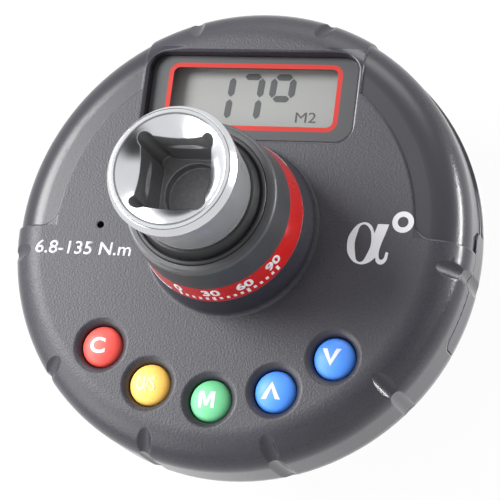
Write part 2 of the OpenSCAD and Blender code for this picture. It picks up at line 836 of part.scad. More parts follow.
// Flat square chip under the board with a row of leads on two sides
module chip(w, leads) {
    pin_w = 0.35;
    pin_out = 0.8;
    pitch = w / (leads + 1);
    translate([-w / 2, -w / 2, -chip_h]) cube([w, w, chip_h - lap]);
    for (i = [1 : leads])
        translate([-w / 2 - pin_out, -w / 2 + i * pitch - pin_w / 2, -chip_h / 2])
            cube([w + 2 * pin_out, pin_w, chip_h / 2]);
}

module board_chips() {
    color("#2a2b2e") translate([0, 0, board_low_z]) {
        at_polar(processor_at[0], processor_at[1]) chip(processor_w, 8);
        at_polar(amplifier_at[0], amplifier_at[1]) chip(amplifier_w, 5);
        at_polar(regulator_at[0], regulator_at[1]) chip(amplifier_w, 3);
    }
}

module gyro_sensor() {
    color("#8a8d92") at_polar(gyro_at[0], gyro_at[1])
        translate([-gyro_w / 2, -gyro_w / 2, board_low_z - gyro_h]) cube([gyro_w, gyro_w, gyro_h]);
}

module switch_bodies() {
    color("#c8cacc") for (a = button_angles)
        at_polar(button_r, a) translate([0, 0, board_z]) difference() {
            translate([-switch_w / 2, -switch_w / 2, 0]) cube([switch_w, switch_w, switch_h]);
            translate([0, 0, switch_floor]) cylinder(d = plunger_d + 2 * slip, h = switch_h + over);
        }
}

module sounder() {
    color("#b89a50") translate([-sounder_x, 0, ceil_z - sounder_t]) difference() {
        cylinder(d = sounder_d, h = sounder_t);
        translate([0, 0, sounder_t / 2]) cylinder(d = sounder_d - 2 * sounder_rim, h = sounder_t);
    }
}

// Domed cap, flange under the face and stem down to the switch
module button(i) {
    cap_r = button_d / 2;
    dome_z = face_z + button_proud;
    edge_z = dome_z - button_dome;
    dome_r = (pow(cap_r, 2) + pow(button_dome, 2)) / (2 * button_dome);
    flange_top = ceil_z - slip;
    color(button_colors[i]) at_polar(button_r, button_angles[i]) rotate_extrude() {
        intersection() {
            translate([0, dome_z - dome_r]) circle(dome_r);
            translate([0, edge_z - over]) square([cap_r, over + 2 * button_dome]);
        }
        translate([0, flange_top - button_flange_t])
            square([cap_r, edge_z - flange_top + button_flange_t]);
        translate([0, flange_top - button_flange_t]) square([button_flange_r, button_flange_t]);
        translate([0, plunger_top_z]) square([button_stem_d / 2, flange_top - plunger_top_z]);
    }
}

module plunger(i) {
    color("#3a3a3c") at_polar(button_r, button_angles[i])
        translate([0, 0, plunger_z]) cylinder(d = plunger_d, h = plunger_top_z - plunger_z);
}

module button_clear() { button(0); }
module button_unit() { button(1); }
module button_memory() { button(2); }
module button_up() { button(3); }
module button_down() { button(4); }
module plunger_clear() { plunger(0); }
module plunger_unit() { plunger(1); }
module plunger_memory() { plunger(2); }
module plunger_up() { plunger(3); }
module plunger_down() { plunger(4); }

// Rim piece that is flush with the housing, with the tray for the cell behind it
module battery_drawer() {
    color("#46484c") difference() {
        union() {
            difference() {
                intersection() {
                    rotate_extrude() housing_section();
                    drawer_front(0, drawer_in);
                }
                rim_notches();
            }
            at_angle(drawer_angle) translate([0, cell_u, tray_z]) linear_extrude(tray_floor + cell_t) {
                circle(tray_r);
                translate([-tray_r, 0]) square([2 * tray_r, drawer_in - cell_u + lap]);
            }
        }
        at_angle(drawer_angle) translate([0, cell_u, 0]) {
            translate([0, 0, cell_z]) cylinder(r = pocket_r, h = cell_t + over);
            translate([0, 0, tray_z - over]) cylinder(d = slot_w, h = tray_floor + 2 * over);
            translate([-slot_w / 2, -tray_r - over, tray_z - over])
                cube([slot_w, tray_r + over, tray_floor + over]);
        }
    }
}

module coin_cell() {
    rim = 0.4;
    color("#c4c6ca") at_angle(drawer_angle) translate([0, cell_u, cell_z]) {
        translate([0, 0, rim]) cylinder(d = cell_d, h = cell_t - rim);
        cylinder(d = cell_d - 4 * rim, h = cell_t);
    }
}

// Bent leaf from a foot at one height to a touching end at another, along the drawer's axis
module contact_leaf(foot, tip) {
    tip_l = contact_w / 2;
    slope_end = cell_d / 3;
    foot_end = cell_d / 2;
    side = tip < foot ? 1 : -1;
    t = side * contact_t;
    color("#d8b878") at_angle(drawer_angle) translate([contact_w / 2, cell_u, 0]) rotate([90, 0, -90])
        linear_extrude(contact_w)
            polygon([[-tip_l, tip], [tip_l, tip], [slope_end, foot - t], [foot_end, foot - t],
                [foot_end, foot], [slope_end - contact_t / 2, foot], [tip_l - contact_t / 2, tip + t],
                [-tip_l, tip + t]]);
}

// Leaf spring that hangs from the board over the cell
module upper_contact() {
    contact_leaf(board_low_z, tray_top_z + slip);
}

// Leaf spring on the rear cover that reaches the cell through the tray's slot
module lower_contact() {
    contact_leaf(floor_z, cell_z - slip);
}

module cover_screws() {
    color("#b0b2b6") for (a = screw_angles)
        at_polar(screw_circle, a) difference() {
            union() {
                translate([0, 0, screw_seat_z - screw_head_h])
                    cylinder(d = screw_head_d, h = screw_head_h);
                translate([0, 0, screw_seat_z - lap])
                    cylinder(d = screw_d, h = insert_z + insert_l - screw_seat_z);
            }
            translate([0, 0, screw_seat_z - screw_head_h - over])
                cylinder(d = screw_head_d / 2, h = over + screw_head_h / 2, $fn = 6);
        }
}

module threaded_inserts() {
    color("#c8a050") for (a = screw_angles)
        at_polar(screw_circle, a) translate([0, 0, insert_z]) difference() {
            cylinder(d = insert_d, h = insert_l);
            translate([0, 0, -over]) cylinder(d = screw_d + 2 * fit, h = insert_l + 2 * over);
        }
}

module board_screws() {
    slot = post_screw_d / 4;
    reach = (ceil_z - board_z) * 0.8;
    color("#b0b2b6") for (p = board_posts)
        at_polar(p[0], p[1]) translate([0, 0, board_low_z - post_head_h]) difference() {
            union() {
                cylinder(d = 2 * post_screw_d, h = post_head_h);
                cylinder(d = post_screw_d, h = post_head_h + board_t + reach);
            }
            translate([-post_screw_d, -slot / 2, -over])
                cube([2 * post_screw_d, slot, over + post_head_h / 2]);
        }
}

module strain_gauges() {
    arc = 40;
    color("#d09040") for (i = [0 : 3])
        rotate([0, 0, i * 90 - arc / 2]) rotate_extrude(angle = arc)
            translate([gauge_r, board_z - gauge_h / 2]) square([gauge_t, gauge_h]);
}

// Flat lead from the foot of a gauge to the underside of the board
module gauge_lead() {
    far = board_hole_d / 2 + lead_w / 2;
    start = gauge_r + gauge_t;
    low = board_low_z - lead_t;
    color("#c07830") translate([-lead_w / 2, 0, 0]) rotate([90, 0, 90]) linear_extrude(lead_w)
        polygon([[start, low], [far, low], [far, board_low_z], [start + lead_t, board_low_z],
            [start + lead_t, board_z], [start, board_z]]);
}

module detent_ball() {
    color("#c8cacc") translate([ball_x, 0, ball_z]) sphere(ball_r);
}

// Coil spring: a round wire swept along a helix
module detent_spring() {
    sides = 8;
    steps = 16;
    coil_r = ball_r - spring_wire / 2 - slip;
    start = ball_x - ball_r * cos(asin(coil_r / ball_r)) - spring_wire / 2 - slip;
    reach = start - (ball_x - ball_r - spring_l) - spring_wire / 2 - slip;
    rings = spring_turns * steps;
    points = [for (i = [0 : rings], k = [0 : sides - 1])
        let (a = 360 * i / steps, b = 360 * k / sides, r = coil_r + spring_wire / 2 * cos(b))
            [start - reach * i / rings - spring_wire / 2 * sin(b), r * cos(a), ball_z + r * sin(a)]];
    walls = [for (i = [0 : rings - 1], k = [0 : sides - 1])
        [i * sides + k, i * sides + (k + 1) % sides, (i + 1) * sides + (k + 1) % sides, (i + 1) * sides + k]];
    ends = [[for (k = [sides - 1 : -1 : 0]) k], [for (k = [0 : sides - 1]) rings * sides + k]];
    color("#8c9096") polyhedron(points, concat(walls, ends));
}

front_cover();
rear_cover();
torsion_shaft();
drive_collar();
red_band();
shaft_seal();
retaining_ring();
rear_oring();
housing_gasket();
display_lens();
lcd_panel();
lcd_holder();
contact_strips();
main_board();
board_chips();
gyro_sensor();
switch_bodies();
sounder();
button_clear();
button_unit();
button_memory();
button_up();
button_down();
plunger_clear();
plunger_unit();
plunger_memory();
plunger_up();
plunger_down();
battery_drawer();
coin_cell();
upper_contact();
lower_contact();
cover_screws();
threaded_inserts();
board_screws();
strain_gauges();
gauge_lead();
detent_ball();
detent_spring();
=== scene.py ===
import json
import math
from contextlib import contextmanager

import bmesh
import bpy
from bpy.props import FloatProperty, FloatVectorProperty, IntProperty, PointerProperty, StringProperty
from mathutils import Matrix, Vector


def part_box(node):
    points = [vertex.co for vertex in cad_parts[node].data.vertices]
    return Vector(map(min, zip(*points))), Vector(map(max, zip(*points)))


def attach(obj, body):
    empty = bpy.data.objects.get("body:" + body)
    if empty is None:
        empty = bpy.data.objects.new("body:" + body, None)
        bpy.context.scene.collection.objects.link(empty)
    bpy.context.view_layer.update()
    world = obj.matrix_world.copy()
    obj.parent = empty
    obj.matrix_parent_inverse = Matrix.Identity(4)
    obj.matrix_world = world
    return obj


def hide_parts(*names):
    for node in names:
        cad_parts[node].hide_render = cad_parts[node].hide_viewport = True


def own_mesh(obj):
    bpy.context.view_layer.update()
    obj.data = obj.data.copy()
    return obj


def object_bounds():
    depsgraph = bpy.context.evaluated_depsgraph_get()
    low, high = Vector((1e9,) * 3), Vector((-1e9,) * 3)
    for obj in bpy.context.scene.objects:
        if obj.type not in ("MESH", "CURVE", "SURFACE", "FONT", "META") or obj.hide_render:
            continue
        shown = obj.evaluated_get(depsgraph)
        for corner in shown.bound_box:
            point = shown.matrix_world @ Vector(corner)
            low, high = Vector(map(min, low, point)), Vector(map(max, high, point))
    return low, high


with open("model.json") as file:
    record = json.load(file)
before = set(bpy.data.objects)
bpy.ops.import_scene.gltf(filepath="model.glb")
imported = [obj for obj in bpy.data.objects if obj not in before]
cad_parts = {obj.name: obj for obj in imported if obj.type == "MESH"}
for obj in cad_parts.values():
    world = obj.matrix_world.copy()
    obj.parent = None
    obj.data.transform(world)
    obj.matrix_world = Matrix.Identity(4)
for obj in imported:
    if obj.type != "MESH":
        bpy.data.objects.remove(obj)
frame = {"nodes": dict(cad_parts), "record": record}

bl_info = {
    "name": "Torque and angle gauge",
    "version": (1, 0, 0),
    "blender": (4, 5, 0),
    "location": "View3D > Sidebar > Gauge",
    "description": "Finishes, prints, keys, display and stage of a torque and angle gauge",
    "category": "Object",
}

MM = 0.001
CAD_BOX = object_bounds()
CAD = frame["nodes"]
KEYS = ("clear", "unit", "memory", "up", "down")
# Points nearer than this are one point
WELD = 0.0005 * MM


# Places on the frame

def middle(node):
    """Middle of a node's box."""
    low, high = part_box(node)
    return (low + high) / 2


CAP_PROUD = 0.15 * MM
FACE_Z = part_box("button_memory")[1].z - CAP_PROUD
CAP_RADIUS = 2.9 * MM
LENS_LOW, LENS_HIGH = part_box("display_lens")
LCD_TOP_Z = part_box("lcd_panel")[1].z
BAND_LOW, BAND_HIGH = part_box("red_band")
BAND_TOP_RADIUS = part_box("drive_collar")[1].x
HEAD_TOP_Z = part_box("torsion_shaft")[1].z
# Side panels of the face: outside this radius, beyond x, above y
PANEL_RADIUS = 25.7 * MM
PANEL_X = 16 * MM
PANEL_Y = -0.4 * MM
# Polished parts of the covers: the rim outside this radius, and a lip round the lens
RIM_RADIUS = 27 * MM
LIP_REACH = 0.9 * MM
# Upward share of the normal: rim and lip are polished below the first value, and grained above the second
RIM_TILT = (0.5, 0.85)
LIP_TILT = (0.985, 0.995)
ZONE_BLUR = 0.2 * MM
# Mouth of the female square: a cone, shaded with the first share of its angle at the rim and both further in
SINK_RADIUS = 7.45 * MM
SINK_ANGLE = math.radians(40)
SINK_DISH = (0.7, 0.27)
# Its faces lie this near to the cone, and the upward share of their normals is past these values
SINK_REACH = 0.4 * MM
SINK_TILT = (0.3, 0.5)
SQUARE_DEPTH = 13 * MM
# Satin wall of the head: outside this radius, below the bevel
WALL_RADIUS = 7.6 * MM
BEVEL_DEPTH = 1.0 * MM
HEAD_BLUR = 0.1 * MM
# Radii of the dark lines painted on the mouth as shade along the edges of its ring, and how far each fades
# to its sides, from a dark core
LINE_CORE = 0.03 * MM
EDGE_SHADE_LINES = ((7.50 * MM, 0.26 * MM), (8.16 * MM, 0.08 * MM))


def band_radius(z):
    """Radius of the coloured band at a height."""
    share = (z - BAND_LOW.z) / (BAND_HIGH.z - BAND_LOW.z)
    return BAND_HIGH.x + share * (BAND_TOP_RADIUS - BAND_HIGH.x)


# Settings

def length(title, text, value):
    """A length, given in millimetres and kept in metres."""
    return FloatProperty(name=title, description=text, default=value * MM, unit="LENGTH", precision=5)


def power(title, text, value):
    """The power of a light in watts."""
    return FloatProperty(name=title, description=text, default=value, unit="POWER")


def colour(title, text, value):
    """A colour in linear light."""
    return FloatVectorProperty(name=title, description=text, default=value, subtype="COLOR", min=0, max=1)


def place(title, text, value):
    """A point, given in millimetres and kept in metres."""
    return FloatVectorProperty(
        name=title, description=text, default=[v * MM for v in value], subtype="TRANSLATION", precision=5)


class GaugeFinishes(bpy.types.PropertyGroup):
    """Colours of the visible materials."""

    housing: colour("Housing", "Grained plastic of the covers", (0.021, 0.020, 0.028))
    collar: colour("Collar", "Satin plastic of the collar cap", (0.043, 0.044, 0.048))
    band: colour("Band", "Lacquered band of the collar", (0.44, 0.010, 0.009))
    rubber: colour("Rubber", "Shaft seal, O-ring and gasket", (0.008, 0.008, 0.009))
    chrome: colour("Chrome", "Plated drive shaft", (0.64, 0.65, 0.67))
    mask: colour("Lens mask", "Print round the display window", (0.029, 0.030, 0.034))
    frame_line: colour("Frame line", "Printed line round the display", (0.42, 0.026, 0.020))
    crystal: colour("Crystal", "Background of the display", (0.285, 0.293, 0.282))
    segment: colour("Segment", "Lit display segment", (0.050, 0.053, 0.056))
    print: colour("Print", "Face print and key legends", (0.62, 0.63, 0.65))


class GaugeKeys(bpy.types.PropertyGroup):
    """Keys and their legends."""

    radius: length("Radius", "Radius of a key cap", CAP_RADIUS / MM)
    dome: length("Dome", "Height of the rounded top of a cap", 1.45)
    roundness: FloatProperty(
        name="Roundness", description="Exponent of the cap's outline, 2 for an ellipse", default=2.25)
    side: length("Side", "Straight side under the rounded top", 1.5)
    flange: length("Flange", "Radius of the flange under the face", 3.7)
    flange_depth: length("Flange depth", "Thickness of that flange", 0.8)
    stem: length("Stem", "Radius of the stem under the flange", 1.4)
    legend_height: length("Legend height", "Height of a legend", 2.4)
    legend_lift: length("Legend lift", "How far a legend stands out of its cap", 0.02)
    clear: colour("Clear", "Cap of the clear key", (0.74, 0.075, 0.060))
    unit: colour("Unit", "Cap of the unit key", (0.95, 0.56, 0.115))
    memory: colour("Memory", "Cap of the memory key", (0.14, 0.52, 0.25))
    up: colour("Up", "Cap of the up key", (0.062, 0.25, 0.82))
    down: colour("Down", "Cap of the down key", (0.062, 0.25, 0.82))
    unit_print: colour("Unit print", "Legend of the unit key", (0.86, 0.68, 0.34))


class GaugePrints(bpy.types.PropertyGroup):
    """Prints on the face and marks on the band."""

    film: length("Film", "Thickness of a print", 0.02)
    range_text: StringProperty(name="Range", description="Printed measuring range", default="6.8-135 N.m")
    range_corner: place("Range corner", "Lower left corner of the range", (-28.4, -4.4, 0))
    range_width: length("Range width", "Width of the range print", 14.3)
    range_height: length("Range height", "Height of the range print", 1.9)
    ring_place: place("Ring place", "Middle of the degree ring", (24.2, 1.9, 0))
    ring_radius: length("Ring radius", "Outer radius of the degree ring", 1.5)
    ring_bore: length("Ring bore", "Inner radius of the degree ring", 0.75)
    tick_count: IntProperty(name="Ticks", description="Marks on the band", default=16, min=2)
    tick_width: length("Tick width", "Width of a mark", 0.42)
    tick_height: length("Tick height", "Height of a short mark", 0.6)
    number_height: length("Number height", "Height of a number on the band", 1.75)


class GaugeDisplay(bpy.types.PropertyGroup):
    """Printed lens and lit display."""

    line_width: length("Line width", "Width of the printed frame line", 0.68)
    window_width: length("Window width", "Clear width inside the frame line", 24.2)
    window_height: length("Window height", "Clear height inside the frame line", 8.5)
    window_round: length("Window rounding", "Corner rounding of the clear window", 0.9)
    digit_width: length("Digit width", "Width of a digit between segment middles", 2.8)
    digit_height: length("Digit height", "Height of a digit between segment middles", 6.4)
    stroke: length("Stroke", "Width of a segment", 0.95)
    slant: FloatProperty(name="Slant", description="Lean of the digits", default=0.055)


class GaugeStage(bpy.types.PropertyGroup):
    """Camera, lights and floor."""

    eye: place("Eye", "Place of the camera", (119.742, -99.264, 370.789))
    aim: place("Aim", "Point on the face that the camera looks at", (3.107, -2.839, 33.0))
    roll: FloatProperty(
        name="Roll", description="Turn of the camera about its view",
        default=math.radians(-45.5587), subtype="ANGLE")
    lens: FloatProperty(name="Lens", description="Focal length in millimetres", default=195.35)
    key_power: power("Key", "Power of the key light", 2.9)
    side_power: power("Side", "Power of the light on the left", 1.3)
    fill_power: power("Fill", "Power of the fill light", 0.45)
    back_power: power("Back", "Power of the light behind", 0.8)
    rim_power: power("Rim", "Power of the low light on the right", 0.7)
    world: FloatProperty(name="World", description="Strength of the soft light all round", default=0.45)
    floor_size: length("Floor size", "Side of the floor", 4000)
    floor_white: FloatProperty(
        name="Floor white", description="How far the floor is plain white to the eye",
        default=0.94, min=0, max=1)


# Node graphs

class Sock:
    """A node's output that can stand in a Python expression."""

    def __init__(self, graph, socket):
        self.graph = graph
        self.socket = socket

    def math(self, operation, *values):
        """A Math node on these values."""
        return self.graph.node("ShaderNodeMath", values, operation=operation)

    def __add__(self, other):
        return self.math("ADD", self, other)

    def __radd__(self, other):
        return self.math("ADD", other, self)

    def __sub__(self, other):
        return self.math("SUBTRACT", self, other)

    def __rsub__(self, other):
        return self.math("SUBTRACT", other, self)

    def __mul__(self, other):
        return self.math("MULTIPLY", self, other)

    def __rmul__(self, other):
        return self.math("MULTIPLY", other, self)

    def __truediv__(self, other):
        return self.math("DIVIDE", self, other)

    def __rtruediv__(self, other):
        return self.math("DIVIDE", other, self)

    def __pow__(self, other):
        return self.math("POWER", self, other)

    def call(self, operation, *others):
        """A Math node whose first value is this one."""
        return self.math(operation, self, *others)


class Graph:
    """A node tree that is written as expressions."""

    def __init__(self, tree):
        self.tree = tree

    def node(self, kind, inputs=(), output=0, **settings):
        """Adds a node: its settings first, then the values or links of its sockets."""
        node = self.tree.nodes.new(kind)
        for name, value in settings.items():
            setattr(node, name, value)
        pairs = inputs.items() if isinstance(inputs, dict) else enumerate(inputs)
        for key, value in pairs:
            socket = node.inputs[key]
            for one in value if isinstance(value, list) else [value]:
                if isinstance(one, Sock):
                    self.tree.links.new(one.socket, socket)
                else:
                    socket.default_value = one
        return Sock(self, node.outputs[output]) if node.outputs else None

    def parts(self, vector):
        """The three parts of a vector."""
        first = self.node("ShaderNodeSeparateXYZ", [vector])
        return [Sock(self, s) for s in first.socket.node.outputs]


class Finish(Graph):
    """A material that is built from nodes."""

    def __init__(self, name):
        self.material = bpy.data.materials.new(name)
        self.material.use_nodes = True
        super().__init__(self.material.node_tree)
        self.tree.nodes.clear()
        self.coords = self.node("ShaderNodeTexCoord", output="Object")

    def noise(self, size, detail):
        """Noise with features of about this size."""
        return self.node("ShaderNodeTexNoise", {"Vector": self.coords, "Scale": 1 / size, "Detail": detail})

    def stretched(self, size, direction, stretch=30):
        """Noise drawn out along one direction, as on brushed or turned metal."""
        scale = tuple(1 / (size * (stretch if i == direction else 1)) for i in range(3))
        moved = self.node("ShaderNodeMapping", {"Vector": self.coords, "Scale": scale})
        return self.node("ShaderNodeTexNoise", {"Vector": moved, "Scale": 1.0, "Detail": 3.0})

    def step(self, value, low, high):
        """0 below low, 1 above high, smooth between."""
        values = {"Value": value, "From Min": low, "From Max": high}
        return self.node("ShaderNodeMapRange", values, interpolation_type="SMOOTHSTEP")

    def blend(self, share, first, second):
        """A mix of two colours."""
        full = [c if isinstance(c, Sock) else (*tuple(c)[:3], 1.0) for c in (first, second)]
        return self.node("ShaderNodeMix", {0: share, 6: full[0], 7: full[1]}, 2, data_type="RGBA")

    def shades(self, share, base, low, high):
        """One colour, between two shades of it."""
        return self.blend(share, tinted(base, low), tinted(base, high))

    def soft_edge(self, radius):
        """Normal that rounds sharp edges by this radius."""
        return self.node("ShaderNodeBevel", {"Radius": radius}, samples=8)

    def edge_share(self, rounded):
        """How much a rounded normal departs from the surface: 0 on flats, more along edges."""
        true = self.node("ShaderNodeNewGeometry", output="Normal")
        return 1.0 - self.node("ShaderNodeVectorMath", [rounded, true], "Value", operation="DOT_PRODUCT")

    def bump(self, height, depth, normal=None):
        """Normal of a surface with this relief, depth in metres."""
        values = {"Height": height, "Distance": depth, "Strength": 1.0}
        if normal:
            values["Normal"] = normal
        return self.node("ShaderNodeBump", values)

    def surface(self, values):
        """Closes the material with a Principled shader."""
        fixed = {k: (*tuple(v)[:3], 1.0) if k.endswith("Color") and not isinstance(v, Sock) else v
                 for k, v in values.items()}
        shader = self.node("ShaderNodeBsdfPrincipled", fixed)
        self.node("ShaderNodeOutputMaterial", {"Surface": shader})
        return self.material


def tinted(base, factor):
    """A colour made lighter or darker."""
    return tuple(min(1.0, c * factor) for c in tuple(base)[:3])


# Materials

def cover_zones(look, rounded):
    """Masks of the covers: the smooth sunk panels, and the polished rim and lip of the display recess."""
    x, y, _ = look.parts(look.coords)
    radius = (x * x + y * y) ** 0.5

    def past(value, start):
        """0 up to a place, 1 beyond it."""
        return look.step(value, start, start + ZONE_BLUR)

    panels = past(x.call("ABSOLUTE"), PANEL_X) * past(y, PANEL_Y) * past(radius, PANEL_RADIUS)
    upright = look.parts(rounded)[2].call("ABSOLUTE")
    rim = (1.0 - look.step(upright, *RIM_TILT)) * past(radius, RIM_RADIUS)
    across, along = (
        (part - (low + high) / 2).call("ABSOLUTE") - (high - low) / 2
        for part, low, high in zip((x, y), LENS_LOW, LENS_HIGH))
    lip = (1.0 - past(across.call("MAXIMUM", along), LIP_REACH)) * (1.0 - look.step(upright, *LIP_TILT))
    return panels * (1.0 - rim), rim.call("MAXIMUM", lip)


def grained_plastic(name, base, grain=0.28, depth=0.035, rough=0.46, edge=0.32, zones=None):
    """Moulded plastic with a fine spark-eroded grain, made a little lighter along its edges by a painted
    highlight.
    """
    look = Finish(name)
    rounded = look.soft_edge(edge * MM)
    # Mask of the edges: they get a painted highlight in their colour, and less roughness
    edge_highlight = look.step(look.edge_share(rounded), 0.01, 0.2)
    fine = look.noise(grain * MM, 1.5)
    coarse = look.noise(7 * MM, 3)
    mottle = look.step(fine * 0.75 + coarse * 0.25, 0.35, 0.65)
    skin = look.shades(mottle, base, 0.82, 1.18)
    relief = fine
    gloss = edge_highlight * 0.18
    if zones:
        smooth, polished = zones(look, rounded)
        skin = look.blend(smooth, skin, tinted(base, 0.8))
        relief = fine * (1.0 - smooth.call("MAXIMUM", polished) * 0.8)
        gloss = gloss + smooth * 0.08 + polished * 0.2
    return look.surface({
        # Painted highlight: the edges are lighter in colour, as where light catches them
        "Base Color": look.blend(edge_highlight * 0.5, skin, tinted(base, 4.0)),
        "Roughness": rough - 0.08 + relief * 0.16 - gloss,
        "Normal": look.bump(relief, depth * MM, rounded),
    })


def satin_plastic(name, base, rough=0.34):
    """Smooth moulded plastic with faint flow marks."""
    look = Finish(name)
    rounded = look.soft_edge(0.12 * MM)
    flow = look.noise(3 * MM, 4)
    fine = look.noise(0.12 * MM, 1)
    return look.surface({
        "Base Color": look.shades(flow, base, 0.88, 1.12),
        "Roughness": rough - 0.05 + flow * 0.1,
        "Normal": look.bump(fine, 0.002 * MM, rounded),
    })


def lacquer(name, base):
    """Glossy lacquer with a clear coat and a faint unevenness."""
    look = Finish(name)
    rounded = look.soft_edge(0.08 * MM)
    cloud = look.noise(1.6 * MM, 3)
    return look.surface({
        "Base Color": look.shades(cloud, base, 0.9, 1.1),
        "Roughness": 0.2 + cloud * 0.1,
        "Coat Weight": 0.5 + cloud * 0.2,
        "Coat Roughness": 0.06,
        "Normal": look.bump(cloud, 0.004 * MM, rounded),
    })


def rubber(name, base):
    """Black rubber with a dusty bloom."""
    look = Finish(name)
    rounded = look.soft_edge(0.1 * MM)
    bloom = look.noise(0.9 * MM, 4)
    fine = look.noise(0.08 * MM, 1)
    return look.surface({
        "Base Color": look.shades(bloom, base, 1.0, 2.0),
        "Roughness": 0.34 + bloom * 0.2,
        "Normal": look.bump(fine, 0.003 * MM, rounded),
    })


def metal(name, base, rough, direction=2):
    """Metal with fine lines along one direction."""
    look = Finish(name)
    rounded = look.soft_edge(0.06 * MM)
    lines = look.stretched(0.05 * MM, direction)
    cloud = look.noise(1.5 * MM, 3)
    return look.surface({
        "Base Color": look.shades(cloud, base, 0.88, 1.06),
        "Metallic": 1.0,
        "Roughness": rough * 0.8 + lines * rough * 0.5,
        "Normal": look.bump(lines, 0.001 * MM, rounded),
    })


def plated_drive(name, base):
    """Polished plating on the mouth with painted shade along the edges of its ring, satin on the wall, dull
    and darker inside the female square.
    """
    look = Finish(name)
    x, y, z = look.parts(look.coords)
    radius = (x * x + y * y) ** 0.5
    sink_z = HEAD_TOP_Z - (SINK_RADIUS - radius) * math.tan(SINK_ANGLE)
    mouth = look.step(SINK_RADIUS - radius, 0.0, 0.02 * MM)
    depth = HEAD_TOP_Z - z

    def past(value, start):
        """0 up to a place, 1 beyond it."""
        return look.step(value, start, start + HEAD_BLUR)

    facing_up = look.parts(look.node("ShaderNodeNewGeometry", output="True Normal"))[2]
    near_cone = 1.0 - past((sink_z - z).call("ABSOLUTE"), SINK_REACH)
    sink = look.step(facing_up, *SINK_TILT) * near_cone * mouth
    inside = mouth * past(SQUARE_DEPTH - depth, 0.0) * (1.0 - sink)
    wall = past(radius, WALL_RADIUS) * past(depth, BEVEL_DEPTH)
    on_top = 1.0 - past(depth, 0.0)
    lines = 0.0
    # Painted shade: dark lines round the ring of the mouth, where shade falls along its edges
    for line, reach in EDGE_SHADE_LINES:
        lines = lines + (1.0 - look.step((radius - line).call("ABSOLUTE"), LINE_CORE, reach)) * on_top
    inward = look.step(SINK_RADIUS - radius, 0.0, SINK_RADIUS / 3)
    slope = SINK_ANGLE * (SINK_DISH[0] + inward * SINK_DISH[1])
    lean = 0.0 - slope.call("SINE") / radius
    cone = look.node("ShaderNodeCombineXYZ", [x * lean, y * lean, slope.call("COSINE")])
    soft = look.soft_edge(0.3 * MM)
    flat = 1.0 - look.step(look.edge_share(soft), 0.004, 0.04)
    rounded = look.node("ShaderNodeMix", {0: sink * flat, 4: soft, 5: cone}, 1, data_type="VECTOR")
    cloud = look.noise(2.5 * MM, 3)
    smear = look.noise(0.6 * MM, 3)
    turned = look.stretched(0.06 * MM, 0)
    skin = look.shades(cloud, base, 0.96, 1.04)
    dull = look.blend(smear, (0.20, 0.20, 0.205), (0.38, 0.38, 0.39))
    # The painted shade lines darken the plating to a third of its colour
    plated = look.blend(wall, look.blend(lines, skin, tinted(base, 0.3)), tinted(base, 1.08))
    return look.surface({
        "Base Color": look.blend(inside, plated, dull),
        "Metallic": 1.0 - inside * 0.35 - wall * 0.2,
        "Roughness": 0.1 + turned * 0.05 + sink * 0.07 + wall * 0.14 + inside * (0.2 + smear * 0.2),
        "Normal": look.bump(smear * inside, 0.012 * MM, rounded),
    })


def clear_lens(name):
    """Clear acrylic, so thin that it only dims and glosses what lies behind."""
    look = Finish(name)
    smear = look.noise(4 * MM, 3)
    return look.surface({
        "Base Color": look.blend(smear, (0.02, 0.02, 0.022), (0.03, 0.03, 0.032)),
        "Roughness": 0.05 + smear * 0.05,
        "Alpha": 0.06,
    })


def crystal_glass(name, base):
    """Reflective liquid crystal: a pale ground with a very fine pearly grain."""
    look = Finish(name)
    pearl = look.noise(0.15 * MM, 1)
    cloud = look.noise(9 * MM, 2)
    return look.surface({
        "Base Color": look.shades(cloud * 0.7 + pearl * 0.3, base, 0.94, 1.06),
        "Roughness": 0.42 + pearl * 0.15,
    })


def ink(name, base, rough=0.5, sheen=0.5):
    """Printed ink with a slightly uneven film."""
    look = Finish(name)
    film = look.noise(0.25 * MM, 2)
    return look.surface({
        "Base Color": look.shades(film, base, 0.95, 1.03),
        "Roughness": rough - 0.06 + film * 0.12,
        "Specular IOR Level": sheen,
        "Normal": look.bump(film, 0.001 * MM),
    })


def key_plastic(name, base):
    """Coloured key cap: soft-touch plastic with a fine grain and a pale sheen."""
    look = Finish(name)
    fine = look.noise(0.14 * MM, 1.5)
    cloud = look.noise(2.2 * MM, 2)
    return look.surface({
        "Base Color": look.shades(cloud, base, 0.93, 1.06),
        "Roughness": 0.4 + fine * 0.14,
        "Subsurface Weight": 0.12,
        "Subsurface Radius": (0.6 * MM, 0.4 * MM, 0.3 * MM),
        "Normal": look.bump(fine, 0.004 * MM),
    })


def laminate(name):
    """Green solder mask over copper tracks."""
    look = Finish(name)
    values = {"Vector": look.coords, "Scale": 160.0, "Distortion": 6.0, "Detail": 1.0, "Detail Scale": 40.0}
    wave = look.node("ShaderNodeTexWave", values, "Fac", wave_type="BANDS", bands_direction="DIAGONAL")
    tracks = look.step(wave, 0.45, 0.55)
    weave = look.noise(0.5 * MM, 2)
    mask = look.blend(weave, (0.012, 0.085, 0.040), (0.016, 0.11, 0.052))
    return look.surface({
        "Base Color": look.blend(tracks * 0.7, mask, (0.035, 0.19, 0.085)),
        "Roughness": 0.28 + weave * 0.1,
        "Normal": look.bump(tracks, 0.03 * MM),
    })


def foil(name):
    """Amber film with a fine metal grid."""
    look = Finish(name)
    values = {"Vector": look.coords, "Scale": 700.0}
    wave = look.node("ShaderNodeTexWave", values, "Fac", wave_type="BANDS", bands_direction="Z")
    grid = look.step(wave, 0.4, 0.6)
    return look.surface({
        "Base Color": look.blend(grid, (0.45, 0.20, 0.035), (0.62, 0.40, 0.16)),
        "Metallic": grid * 0.6,
        "Roughness": 0.5 - grid * 0.2,
    })


def dress(material, *nodes):
    """Gives CAD nodes their finish."""
    for node in nodes:
        for slot in CAD[node].material_slots:
            slot.material = material


# Meshes

